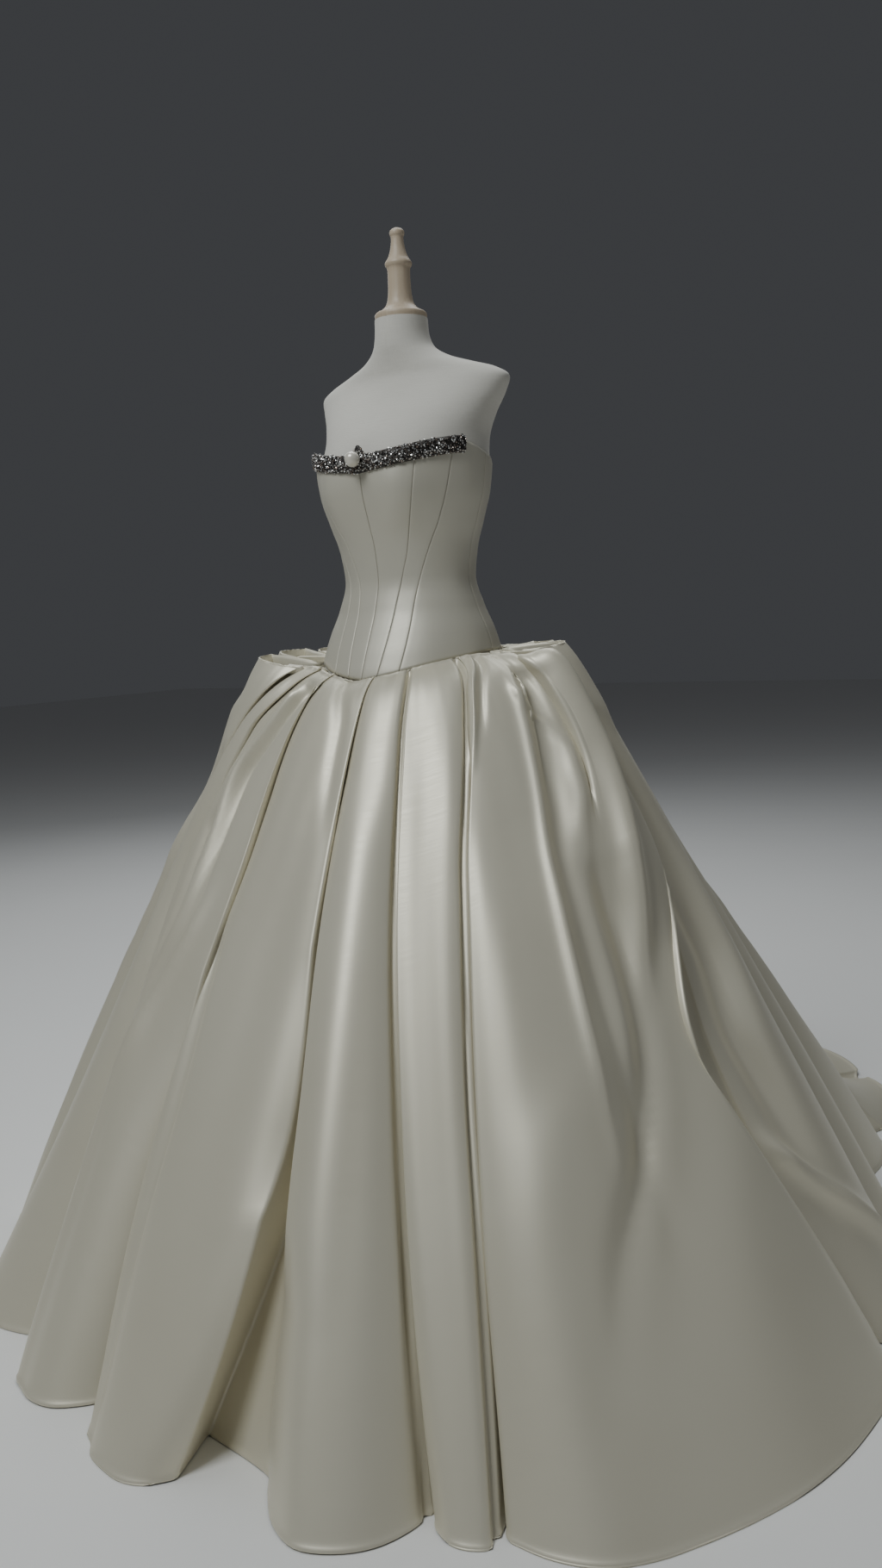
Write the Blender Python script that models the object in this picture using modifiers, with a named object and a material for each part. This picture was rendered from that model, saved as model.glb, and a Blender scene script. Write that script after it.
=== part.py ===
"""Strapless drop-waist ball gown standing on a limbless dress form.

Metres, +Z up. The front of the gown faces -Y, the wearer's left is +X, and the origin is on the
floor under the middle of the stand. Angles are degrees round Z from the centre front, positive
towards the wearer's left. The cloth is a set of thin walls, one for each cut piece, a hair apart
at the seams. The form, its finial, pole and base are solid and stand clear of the cloth.
"""

import math

import bmesh
import bpy

COLLECTION = "wedding_dress"

# Cloth and seams
SKIRT_WALL = 0.0016
BODICE_WALL = 0.0020
SEAM_GAP = 0.0003
WAIST_GAP = 0.0006

# Bodice: where it lies, and how its wall is divided
BODICE_ROWS = 15
BUST_ANGLE = 27.0
BUST_SPREAD = 20.0
BUST_HEIGHT = 1.212
BUST_REACH = 0.055
BUST_FULLNESS = 0.009

# Beaded band over the front of the neckline, with one large pearl
BAND_END = 72.0
BAND_COLUMNS = 32
BAND_ABOVE = 0.008
BAND_BELOW = 0.021
BAND_STAND_OFF = 0.0008
BAND_THICK = 0.0058
BAND_EDGE_THICK = 0.0022
BAND_FACE = (0.26, 0.74)
PEAK_HEIGHT = 0.011
PEAK_SPREAD = 4.5
PEAK_SEAT = 0.55
PEARL_RADIUS = 0.0130
PEARL_HEIGHT = 1.2630

# Dress form and stand
FORM_CLEARANCE = 0.0023
FORM_COLUMNS = 36
FORM_FLOOR = 0.780
NECK_TOP = 1.492
NECK_BACK = 0.010
POLE_RADIUS = 0.0160
BASE_RADIUS = 0.190
BASE_HEIGHT = 0.014
BASE_BEVEL = 0.004

# Skirt: rows from the waist seam (0) to the hem (1)
SKIRT_ROWS = (0.0, 0.012, 0.035, 0.08, 0.15, 0.23, 0.32, 0.42, 0.52, 0.62, 0.72, 0.82, 0.91, 1.0)
SHELF_STEP = 0.015
BODY_CLEARANCE = 0.0010
TRAIN_START = 0.87
TRAIN_WIDTH = 0.22
TRAIN_SWEEP = 0.75
TRAIN_FLARE = 0.45
LYING_START = 0.55
LYING_STEPS = 0.35
SLOPE_STEP = 0.02

# Fold lines: how far the cloth runs along the body under a standing pleat, how quickly that
# ends below the seam, where the lobes round off, how far they draw in where one laps over the
# next, and the least opening between two lobes
NECK_SHARE = 0.34
NECK_STEP = 0.06
STANDING_REACH = 0.03
STANDING_RANGE = 0.05
SHOULDER_SHARE = 0.24
SHOULDER_SHAPE = -0.14
EDGE_SHAPE = -0.30
UNDER_SHOULDER = -0.18
UNDER_EDGE = -0.50
HEM_ROUNDING = -0.24
CREST_ROUNDING = -0.12
LAPPED_TUCK = 2.0
EDGE_DRAW = 0.45
DEEPEST_EDGE = -0.95
RAMP_AT_EDGE = 0.6
RAMP_AT_SHOULDER = 0.8
FOLD_MOUTH = 0.008
SOFT_STEP = 0.30
VALLEY_WIDTH = 0.004

# Torso under the cloth: height, half width, depth in front, depth behind
TORSO = (
    (0.900, 0.160, 0.152, 0.130),
    (0.930, 0.158, 0.149, 0.127),
    (0.965, 0.151, 0.136, 0.121),
    (1.000, 0.141, 0.119, 0.113),
    (1.040, 0.124, 0.101, 0.102),
    (1.085, 0.1120, 0.0900, 0.0905),
    (1.130, 0.1180, 0.0950, 0.0930),
    (1.175, 0.1320, 0.1080, 0.0990),
    (1.220, 0.1450, 0.1200, 0.1050),
    (1.260, 0.1500, 0.1240, 0.1070),
    (1.320, 0.1520, 0.1230, 0.1080),
)

# Dress form above and below the gown: height, half width, shift back, depth in front, behind
FORM_TOP = (
    (1.300, 0.1420, 0.012, 0.1130, 0.0980),
    (1.335, 0.1530, 0.022, 0.0960, 0.0860),
    (1.365, 0.1680, 0.032, 0.0800, 0.0740),
    (1.388, 0.1750, 0.036, 0.0660, 0.0640),
    (1.402, 0.1560, 0.035, 0.0590, 0.0590),
    (1.416, 0.1150, 0.030, 0.0550, 0.0550),
    (1.430, 0.0760, 0.023, 0.0510, 0.0510),
    (1.446, 0.0520, 0.015, 0.0470, 0.0470),
    (1.464, 0.0440, 0.011, 0.0440, 0.0440),
    (NECK_TOP, 0.0420, NECK_BACK, 0.0420, 0.0420),
)
FORM_HIP = (
    (FORM_FLOOR, 0.1480, 0.000, 0.1330, 0.1300),
    (0.800, 0.1560, 0.000, 0.1420, 0.1380),
    (0.850, 0.1600, 0.000, 0.1470, 0.1380),
)
FORM_MIDDLE = (0.900, 0.935, 0.970, 1.000, 1.027, 1.047, 1.065, 1.083, 1.101, 1.120, 1.142,
               1.170, 1.205, 1.230, 1.255)

# Bodice seams: height, and the angle of each seam on the wearer's left
SEAM_COLUMNS = ("height", "princess", "side_front", "side", "side_back")
SEAMS = (
    (0.930, 10.0, 23.0, 88.0, 142.0),
    (1.000, 16.0, 31.0, 90.0, 140.0),
    (1.050, 21.0, 37.0, 90.0, 138.0),
    (1.090, 27.0, 44.0, 90.0, 137.0),
    (1.130, 33.0, 51.0, 90.0, 136.0),
    (1.170, 35.5, 57.0, 90.0, 135.0),
    (1.220, 38.0, 61.0, 90.0, 134.0),
    (1.300, 43.0, 66.0, 90.0, 132.0),
)

# Top edge and waist seam of the bodice: angle from the centre front, height
NECKLINE = ((0, 1.262), (22, 1.268), (50, 1.279), (72, 1.285), (92, 1.270), (130, 1.250),
            (180, 1.240))
WAIST_SEAM = ((0, 0.930), (20, 0.939), (45, 0.953), (62, 0.960), (90, 0.967), (140, 0.970),
              (180, 0.970))

# Skirt round the body: angle, reach of the pleats past the body at the seam, reach just below
# it, radius of the crests at the hem, and how far the rims of the pleats rise above the seam
SPREAD_COLUMNS = ("angle", "reach", "below", "hem", "rise")
SPREAD = (
    (-180, 0.030, 0.070, 1.18, 0.000),
    (-157, 0.032, 0.075, 1.08, 0.000),
    (-140, 0.050, 0.090, 0.93, 0.002),
    (-125, 0.080, 0.108, 0.79, 0.006),
    (-110, 0.095, 0.112, 0.755, 0.010),
    (-90, 0.106, 0.118, 0.735, 0.012),
    (-60, 0.106, 0.116, 0.735, 0.012),
    (-50, 0.078, 0.096, 0.745, 0.006),
    (-38, 0.022, 0.052, 0.755, 0.000),
    (-25, 0.015, 0.040, 0.745, 0.000),
    (-12, 0.013, 0.036, 0.745, 0.000),
    (4, 0.013, 0.034, 0.785, 0.000),
    (20, 0.013, 0.034, 0.825, 0.000),
    (32, 0.014, 0.036, 0.810, 0.000),
    (47, 0.015, 0.044, 0.875, 0.000),
    (60, 0.018, 0.055, 0.860, 0.000),
    (73, 0.034, 0.078, 0.828, -0.002),
    (84, 0.085, 0.104, 0.800, -0.012),
    (98, 0.100, 0.112, 0.780, 0.002),
    (112, 0.102, 0.114, 0.762, 0.008),
    (125, 0.085, 0.106, 0.770, 0.007),
    (140, 0.052, 0.086, 0.91, 0.002),
    (157, 0.032, 0.075, 1.07, 0.000),
    (180, 0.030, 0.070, 1.18, 0.000),
)

# Fold lines of the skirt. The angles run from the seam to the hem, at LINE_STEPS. The tuck is
# how far the valley lies under the lobe on the wearer's left of it (+) or on the wearer's right
# (-), at TUCK_STEPS. The mouth is how wide the fold stands open at the hem. The depths are at
# DEPTH_STEPS, and at the seam the valley reaches in to the body. The ramp is how much of its
# depth the next lobe still has where it begins, and the softness how far the fold opens out.
LINE_STEPS = (0.0, 0.10, 0.30, 0.60, 1.0)
TUCK_STEPS = (0.0, 0.25, 0.60, 1.0)
DEPTH_STEPS = (0.0, 0.30, 1.0)
LINE_COLUMNS = ("name", "seam", "high", "knee", "low", "hem", "tuck_seam", "tuck_high",
                "tuck_low", "tuck_hem", "mouth", "depth_knee", "depth_hem", "ramp",
                "soft")
LINES = (
    ("back_right_3", -166, -166, -167, -168, -168, 3, 3, 2, 0, 2, 0.060, 0.030, 0, 0),
    ("back_right_2", -155, -155, -155, -153, -152, 3, 3, 2, 0, 3, 0.055, 0.042, 0, 0),
    ("back_right_1", -141, -142, -143, -140, -138, 3, 3, 2, 0, 2, 0.064, 0.055, 0, 0),
    ("side_back_right", -119, -123, -126, -124, -120, 4, 4, 3, 2, 3, 0.080, 0.105, 0, 0),
    ("side_right", -96, -101, -105, -102, -97, 3, 3, 3, 3, 3, 0.085, 0.110, 0, 0),
    ("hip_right", -72, -78, -83, -79, -75, 3, 3, 3, 3, 3, 0.085, 0.115, 0, 0),
    ("front_right_2", -44, -52, -59, -55, -51, 0, 2, 3, 3, 3, 0.060, 0.120, 0, 0),
    ("front_right_1", -33.5, -42.5, -46.7, -33.4, -25, 0, 2, 3, 3, 3, 0.048, 0.120, 0, 0),
    ("front_1", -22, -22, -19.3, -15, -8.4, 0, 1, 1, 3, 2, 0.045, 0.115, 0, 0),
    ("centre", 10.5, 9.8, 11, 13.5, 13, -3, 0.5, 1, -7, 12, 0.045, 0.130, 0, 0),
    ("front_2", 32, 29, 27.7, 29, 31.6, 3, 3, 3, 3, 1, 0.042, 0.085, 0, 0),
    ("front_left_1", 56, 50.8, 42.5, 38.7, 37.3, 3, 3, 3, 3, 1, 0.045, 0.075, 0, 0),
    ("front_left_2", 79, 73, 60, 58, 60, -2, 0, 0, 0, 3, 0.022, 0.004, 0.7, 8),
    ("hip_left", 97, 100, 99.3, 82.6, 87.5, -3, -4, -3, 0, 2, 0.085, 0.060, 0, 0),
    ("side_left", 116, 121, 121, 108, 106, -3, -3, -3, -2, 3, 0.075, 0.080, 0, 0),
    ("side_back_left", 131, 135, 136, 128, 123, -4, -4, -3, -2, 3, 0.080, 0.100, 0, 0),
    ("back_left_1", 144, 145, 146, 142, 139, -3, -3, -2, 0, 3, 0.060, 0.060, 0, 0),
    ("back_left_2", 156, 156, 157, 155, 154, -3, -3, -2, 0, 2, 0.056, 0.036, 0, 0),
    ("back_left_3", 168, 168, 168, 167, 166, -3, -3, -2, 0, 2, 0.060, 0.032, 0, 0),
    ("centre_back", 180, 180, 180, 180, 180, 0, 0, 0, 0, 2, 0.060, 0.030, 0, 0),
)
FOLDS = [dict(zip(LINE_COLUMNS, row)) for row in LINES]

# Points across the crest of the lobe after a fold line
PLAIN_CRESTS = 3
CRESTS = {"front_2": 2, "side_back_right": 4}

# Skirt pieces: name, and the fold lines whose valleys hide its seams
SKIRT_PIECES = (
    ("skirt_back_right", "centre_back", "side_back_right"),
    ("skirt_side_right", "side_back_right", "hip_right"),
    ("skirt_front_right", "hip_right", "front_right_1"),
    ("skirt_front", "front_right_1", "front_left_1"),
    ("skirt_front_left", "front_left_1", "hip_left"),
    ("skirt_side_left", "hip_left", "side_back_left"),
    ("skirt_back_left", "side_back_left", "centre_back"),
)

SATIN = ("duchess_satin", (0.86, 0.84, 0.79), 0.38, 0.0)
BEADWORK = ("crystal_beadwork", (0.72, 0.69, 0.65), 0.25, 0.3)
PEARL = ("pearl", (0.90, 0.87, 0.80), 0.22, 0.0)
LINEN = ("form_linen", (0.83, 0.82, 0.79), 0.85, 0.0)
WOOD = ("turned_wood", (0.62, 0.50, 0.38), 0.50, 0.0)
STEEL = ("painted_steel", (0.16, 0.16, 0.16), 0.45, 0.6)


# ---------------------------------------------------------------- curves and tables

def smooth_table(rows, column, at):
    """Value of a table's column at a place in its first column, on a smooth monotone curve."""
    xs = [row[0] for row in rows]
    ys = [row[column] for row in rows]
    return smooth_values(xs, ys, at)


def smooth_values(xs, ys, at):
    """Cubic through (xs, ys) that never overshoots between two points."""
    if at <= xs[0]:
        return ys[0]
    if at >= xs[-1]:
        return ys[-1]
    k = 0
    while xs[k + 1] < at:
        k += 1
    slopes = [(ys[i + 1] - ys[i]) / (xs[i + 1] - xs[i]) for i in range(len(xs) - 1)]
    tangents = []
    for i in range(len(xs)):
        before = slopes[max(i - 1, 0)]
        after = slopes[min(i, len(slopes) - 1)]
        if before * after <= 0.0:
            tangents.append(0.0)
        else:
            tangents.append(2.0 * before * after / (before + after))
    width = xs[k + 1] - xs[k]
    t = (at - xs[k]) / width
    return ((2 * t ** 3 - 3 * t ** 2 + 1) * ys[k]
            + (t ** 3 - 2 * t ** 2 + t) * width * tangents[k]
            + (-2 * t ** 3 + 3 * t ** 2) * ys[k + 1]
            + (t ** 3 - t ** 2) * width * tangents[k + 1])


def smoothstep(value):
    value = min(max(value, 0.0), 1.0)
    return value * value * (3.0 - 2.0 * value)


def wrap(angle):
    """The same direction between -180 and 180 degrees."""
    return (angle + 180.0) % 360.0 - 180.0


def at_angle(angle, radius, height, shift=0.0):
    a = math.radians(angle)
    return (radius * math.sin(a), shift - radius * math.cos(a), height)


# ---------------------------------------------------------------- the body under the cloth

def oval_radius(angle, half_width, front, back):
    a = math.radians(angle)
    depth = front if math.cos(a) > 0.0 else back
    return 1.0 / math.hypot(math.sin(a) / half_width, math.cos(a) / depth)


def body_radius(angle, height):
    """Outer face of the bodice, with a soft fullness over each side of the bust."""
    half_width = smooth_table(TORSO, 1, height)
    front = smooth_table(TORSO, 2, height)
    back = smooth_table(TORSO, 3, height)
    off = (abs(wrap(angle)) - BUST_ANGLE) / BUST_SPREAD
    up = (height - BUST_HEIGHT) / BUST_REACH
    bust = BUST_FULLNESS * math.exp(-off * off - up * up)
    return oval_radius(angle, half_width, front, back) + bust


def neckline_height(angle):
    return smooth_table(NECKLINE, 1, abs(wrap(angle)))


def waist_height(angle):
    return smooth_table(WAIST_SEAM, 1, abs(wrap(angle)))


# ---------------------------------------------------------------- objects

def make_material(finish):
    name, colour, roughness, metallic = finish
    material = bpy.data.materials.get(name)
    if material is None:
        material = bpy.data.materials.new(name)
        material.use_nodes = True
        shader = material.node_tree.nodes["Principled BSDF"]
        shader.inputs["Base Color"].default_value = (*colour, 1.0)
        shader.inputs["Roughness"].default_value = roughness
        shader.inputs["Metallic"].default_value = metallic
    return material


def new_object(name, mesh, finish):
    material = make_material(finish).copy()
    material.name = f"{finish[0]}_{name}"
    mesh.materials.clear()
    mesh.materials.append(material)
    thing = bpy.data.objects.new(name, mesh)
    bpy.data.collections[COLLECTION].objects.link(thing)
    return thing


def grid_mesh(name, rows):
    """Open surface through rows of points, its faces pointing away from the axis."""
    count = len(rows[0])
    points = [point for row in rows for point in row]
    faces = []
    for i in range(len(rows) - 1):
        for j in range(count - 1):
            a = i * count + j
            faces.append((a, a + count, a + count + 1, a + 1))
    mesh = bpy.data.meshes.new(name)
    mesh.from_pydata(points, [], faces)
    return mesh


def cloth_wall(name, rows, thickness, finish):
    """Cloth of an even thickness behind its outer face. Where it meets the floor it is level."""
    sheet = new_object(name, grid_mesh(name, rows), finish)
    solidify = sheet.modifiers.new("cloth", "SOLIDIFY")
    solidify.thickness = thickness
    solidify.offset = -1.0
    solidify.use_rim = True
    solidify.use_quality_normals = True
    graph = bpy.context.evaluated_depsgraph_get()
    mesh = bpy.data.meshes.new_from_object(sheet.evaluated_get(graph))
    sheet.modifiers.clear()
    sheet.data = mesh
    for vertex in mesh.vertices:
        vertex.co.z = max(vertex.co.z, 0.0)
    mesh.shade_smooth()
    mesh.set_sharp_from_angle(angle=math.radians(50.0))
    return sheet


def fitted_wall(name, outer, inner, finish):
    """Wall between two grids of points, such as a panel that is cut to lie close on the body."""
    count = len(outer[0])
    half = len(outer) * count
    points = [point for rows in (outer, inner) for row in rows for point in row]
    faces = []
    for i in range(len(outer) - 1):
        for j in range(count - 1):
            a = i * count + j
            faces.append((a, a + count, a + count + 1, a + 1))
            faces.append((a + half, a + half + 1, a + half + count + 1, a + half + count))
    top = (len(outer) - 1) * count
    border = list(range(count)) + [i * count + count - 1 for i in range(1, len(outer))]
    border += list(range(top + count - 2, top - 1, -1))
    border += [i * count for i in range(len(outer) - 2, 0, -1)]
    for a, b in zip(border, border[1:] + border[:1]):
        faces.append((a, b, b + half, a + half))
    mesh = bpy.data.meshes.new(name)
    mesh.from_pydata(points, [], faces)
    mesh.shade_smooth()
    mesh.set_sharp_from_angle(angle=math.radians(50.0))
    return new_object(name, mesh, finish)


def ring_loft(name, rings, finish):
    """Closed body through rings of the same number of points, lowest ring first."""
    count = len(rings[0])
    mesh = bpy.data.meshes.new(name)
    shape = bmesh.new()
    loops = [[shape.verts.new(point) for point in ring] for ring in rings]
    for low, high in zip(loops, loops[1:]):
        for j in range(count):
            k = (j + 1) % count
            shape.faces.new((low[j], low[k], high[k], high[j]))
    shape.faces.new(list(reversed(loops[0])))
    shape.faces.new(loops[-1])
    bmesh.ops.recalc_face_normals(shape, faces=shape.faces)
    shape.to_mesh(mesh)
    shape.free()
    mesh.shade_smooth()
    mesh.set_sharp_from_angle(angle=math.radians(40.0))
    return new_object(name, mesh, finish)


# ---------------------------------------------------------------- bodice

def seam_angle(seam, height):
    """Angle of a bodice seam on the wearer's left; the centre seams stay where they are."""
    if seam == "centre_front":
        return 0.0
    if seam == "centre_back":
        return 180.0
    return smooth_table(SEAMS, SEAM_COLUMNS.index(seam), height)


def bodice_rows(first, last, columns, side, inset):
    """Points of a panel between two seams. The side is 1 on the wearer's left, -1 on the right."""
    rows = []
    for i in range(BODICE_ROWS + 1):
        up = i / BODICE_ROWS
        row = []
        for j in range(columns + 1):
            across = j / columns
            height = 1.1
            for _ in range(6):
                start = seam_angle(first, height)
                end = seam_angle(last, height)
                radius = body_radius(start, height)
                edge = math.degrees(0.5 * SEAM_GAP / radius)
                angle = (start + edge) * (1.0 - across) + (end - edge) * across
                low = waist_height(angle)
                height = low + (neckline_height(angle) - low) * up
            radius = body_radius(angle, height) - inset
            row.append(at_angle(side * angle, radius, height))
        rows.append(row if side < 0 else list(reversed(row)))
    return rows


def make_bodice():
    panels = (
        ("front", "centre_front", "princess", 3),
        ("side_front", "princess", "side_front", 3),
        ("side", "side_front", "side", 5),
        ("side_back", "side", "side_back", 5),
        ("back", "side_back", "centre_back", 4),
    )
    for piece, first, last, columns in panels:
        for hand, side in (("left", 1), ("right", -1)):
            outer = bodice_rows(first, last, columns, side, 0.0)
            inner = bodice_rows(first, last, columns, side, BODICE_WALL)
            fitted_wall(f"bodice_{piece}_{hand}", outer, inner, SATIN)


# ---------------------------------------------------------------- neckline band

def make_band():
    """Raised strip round the front of the top edge, thick in the middle and thin at its edges."""
    rings = []
    for j in range(BAND_COLUMNS + 1):
        angle = BAND_END * (2.0 * j / BAND_COLUMNS - 1.0)
        edge = neckline_height(angle)
        near_pearl = math.exp(-(angle / PEAK_SPREAD) ** 2)
        low = edge - BAND_BELOW
        high = edge + BAND_ABOVE + PEAK_HEIGHT * near_pearl
        swell = 1.0 - (1.0 - PEAK_SEAT) * near_pearl
        full = BAND_EDGE_THICK + (BAND_THICK - BAND_EDGE_THICK) * swell
        profile = (
            (0.0, 0.0),
            (0.0, 0.5),
            (0.0, 1.0),
            (BAND_EDGE_THICK, 1.0),
            (full, BAND_FACE[1]),
            (full, BAND_FACE[0]),
            (BAND_EDGE_THICK, 0.0),
        )
        ring = []
        for out, up in profile:
            height = low + (high - low) * up
            wall = body_radius(angle, min(height, edge))
            ring.append(at_angle(angle, wall + BAND_STAND_OFF + out, height))
        rings.append(ring)
    ring_loft("neckline_band", rings, BEADWORK)


def make_pearl():
    """One large pearl at the centre front, seated against the band."""
    band_face = BAND_EDGE_THICK + (BAND_THICK - BAND_EDGE_THICK) * PEAK_SEAT
    wall = body_radius(0.0, PEARL_HEIGHT)
    centre = wall + BAND_STAND_OFF + band_face + PEARL_RADIUS + SEAM_GAP
    bpy.ops.mesh.primitive_uv_sphere_add(segments=16, ring_count=10, radius=PEARL_RADIUS)
    ball = bpy.context.object
    mesh = ball.data.copy()
    bpy.data.objects.remove(ball)
    mesh.shade_smooth()
    pearl = new_object("centre_pearl", mesh, PEARL)
    pearl.location = (0.0, -centre, PEARL_HEIGHT)


# ---------------------------------------------------------------- skirt

def spread(angle, column):
    return smooth_table(SPREAD, SPREAD_COLUMNS.index(column), wrap(angle))


def fold_place(index, step):
    """Angle of a fold line. The lines are counted on past the centre back."""
    turns, at = divmod(index, len(FOLDS))
    angles = [FOLDS[at][name] for name in LINE_COLUMNS[1:6]]
    return smooth_values(LINE_STEPS, angles, step) + 360.0 * turns


def fold_depth(fold, step):
    """How far the valley lies behind the crests."""
    seam = spread(fold["seam"], "reach") - BODY_CLEARANCE
    return smooth_values(DEPTH_STEPS, (seam, fold["depth_knee"], fold["depth_hem"]), step)


def train_share(angle):
    """0 where the hem stands on the floor, 1 where the train lies on it."""
    return smoothstep((spread(angle, "hem") - TRAIN_START) / TRAIN_WIDTH)


def standing_share(angle):
    """1 where the pleats stand well out from the body at the seam."""
    return smoothstep((spread(angle, "reach") - STANDING_REACH) / STANDING_RANGE)


def envelope(angle, step):
    """Radius and height of the crests, from the waist seam to the hem."""
    top = waist_height(angle) - WAIST_GAP
    body = body_radius(angle, top)
    train = train_share(angle)
    start = body + spread(angle, "below")
    run = step + TRAIN_FLARE * train * (step * step - step)
    radius = start + (spread(angle, "hem") - start) * run
    radius -= (spread(angle, "below") - spread(angle, "reach")) * math.exp(-step / SHELF_STEP)
    height = top * (1.0 - step) ** (1.0 + TRAIN_SWEEP * train)
    return radius, height


def cloth_point(angle, shape, depth, step):
    """A point of the skirt. The shape is 0 on a crest and -1 at the bottom of a valley."""
    radius, height = envelope(angle, step)
    lying = train_share(angle) * smoothstep((step - LYING_START) / LYING_STEPS)
    ahead_radius, ahead_height = envelope(angle, min(step + SLOPE_STEP, 1.0))
    back_radius, back_height = envelope(angle, max(step - SLOPE_STEP, 0.0))
    run = ahead_radius - back_radius
    fall = back_height - ahead_height
    slope = math.hypot(run, fall)
    outward = (1.0 - lying) + lying * fall / slope
    upward = lying * run / slope
    length = math.hypot(outward, upward)
    move = depth * (shape + lying)
    radius += move * outward / length
    height += move * upward / length
    height += spread(angle, "rise") * (1.0 + shape) * math.exp(-step / SHELF_STEP)
    height += SKIRT_WALL * lying * step
    body = body_radius(angle, max(height, WAIST_SEAM[0][1])) + BODY_CLEARANCE
    return at_angle(angle, max(radius, body), height)


def fold_points(index, step):
    """The six places across a fold line: angle, and shape from crest (0) to valley (-1)."""
    fold = FOLDS[index % len(FOLDS)]
    angle = fold_place(index, step)
    left_width = angle - fold_place(index - 1, step)
    right_width = fold_place(index + 1, step) - angle
    tuck = smooth_values(TUCK_STEPS, [fold[name] for name in LINE_COLUMNS[6:10]], step)
    radius = envelope(angle, step)[0]
    under_left = min(max(tuck / LAPPED_TUCK, 0.0), 1.0)
    under_right = min(max(-tuck / LAPPED_TUCK, 0.0), 1.0)
    closed = 1.0 - max(under_left, under_right)
    mouth = math.degrees(FOLD_MOUTH / radius) * closed
    mouth += fold["mouth"] * step ** 4 + fold["soft"] * smoothstep(step / SOFT_STEP)
    left = angle - 0.5 * mouth
    right = angle + 0.5 * mouth
    neck = NECK_SHARE * math.exp(-(step / NECK_STEP) ** 2)
    left_neck = neck * left_width * standing_share(angle - 0.5 * left_width)
    right_neck = neck * right_width * standing_share(angle + 0.5 * right_width)
    ramp = fold["ramp"]
    if ramp > 0.0:
        right_neck = 0.0
    flat = 0.5 * math.degrees(VALLEY_WIDTH / (radius - fold_depth(fold, step)))
    rounding = HEM_ROUNDING * step * step
    left_shoulder = SHOULDER_SHAPE + UNDER_SHOULDER * under_left + 0.5 * rounding
    left_edge = EDGE_SHAPE + UNDER_EDGE * under_left + rounding
    right_edge = EDGE_SHAPE + UNDER_EDGE * under_right + rounding - RAMP_AT_EDGE * ramp
    right_shoulder = SHOULDER_SHAPE + UNDER_SHOULDER * under_right + 0.5 * rounding
    return (
        (left - SHOULDER_SHARE * left_width, left_shoulder),
        (left + EDGE_DRAW * max(tuck, 0.0), left_edge),
        (angle + tuck - left_neck - flat, -1.0),
        (angle + tuck + right_neck + flat, -1.0),
        (right - EDGE_DRAW * max(-tuck, 0.0), max(right_edge, DEEPEST_EDGE)),
        (right + SHOULDER_SHARE * right_width, right_shoulder - RAMP_AT_SHOULDER * ramp),
    )


def skirt_row(first, last, step):
    """Points round the skirt, from the valley of one fold line to the valley of another."""
    names = [fold["name"] for fold in FOLDS]
    start = names.index(first)
    stop = names.index(last)
    if stop <= start:
        stop += len(FOLDS)
    points = []
    for index in range(start, stop + 1):
        fold = FOLDS[index % len(FOLDS)]
        depth = fold_depth(fold, step)
        places = list(fold_points(index, step))
        inner = envelope(places[2][0], step)[0] - depth
        gap = math.degrees(0.5 * SEAM_GAP / inner)
        if index == start:
            places = [(places[2][0] + gap, -1.0)] + places[3:]
        if index == stop:
            places = places[:2] + [(places[2][0] - gap, -1.0)]
        for angle, shape in places:
            points.append(cloth_point(angle, shape, depth, step))
        if index < stop:
            following = FOLDS[(index + 1) % len(FOLDS)]
            next_depth = fold_depth(following, step)
            begin = places[-1][0]
            end = fold_points(index + 1, step)[0][0]
            crests = CRESTS.get(fold["name"], PLAIN_CRESTS)
            for n in range(1, crests + 1):
                share = n / (crests + 1)
                shape = CREST_ROUNDING * (2.0 * share - 1.0) ** 2
                shape -= fold["ramp"] * (1.0 - share) ** 2
                between = depth + (next_depth - depth) * share
                points.append(cloth_point(begin + (end - begin) * share, shape, between, step))
    return points


def make_skirt():
    for name, first, last in SKIRT_PIECES:
        rows = [list(reversed(skirt_row(first, last, step))) for step in SKIRT_ROWS]
        rows.reverse()
        cloth_wall(name, rows, SKIRT_WALL, SATIN)


# ---------------------------------------------------------------- dress form and stand

def form_ring(height, half_width, shift, front, back, clearance=0.0):
    ring = []
    for j in range(FORM_COLUMNS):
        angle = 360.0 * j / FORM_COLUMNS
        radius = oval_radius(angle, half_width, front, back) - clearance
        ring.append(at_angle(angle, radius, height, shift))
    return ring


def make_form():
    rings = [form_ring(*row) for row in FORM_HIP]
    inset = BODICE_WALL + FORM_CLEARANCE
    for height in FORM_MIDDLE:
        ring = []
        for j in range(FORM_COLUMNS):
            angle = 360.0 * j / FORM_COLUMNS
            ring.append(at_angle(angle, body_radius(angle, height) - inset, height))
        rings.append(ring)
    rings += [form_ring(*row) for row in FORM_TOP]
    ring_loft("form_body", rings, LINEN)


def turned(name, profile, finish, steps, centre=(0.0, 0.0, 0.0)):
    """Turned body: the profile runs down its outer side, from the axis to the axis."""
    mesh = bpy.data.meshes.new(name)
    points = [(radius, 0.0, height) for radius, height in profile]
    mesh.from_pydata(points, [(i, i + 1) for i in range(len(points) - 1)], [])
    thing = new_object(name, mesh, finish)
    screw = thing.modifiers.new("turn", "SCREW")
    screw.steps = steps
    screw.render_steps = steps
    screw.use_merge_vertices = True
    screw.merge_threshold = 0.00005
    thing.location = centre
    return thing


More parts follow.
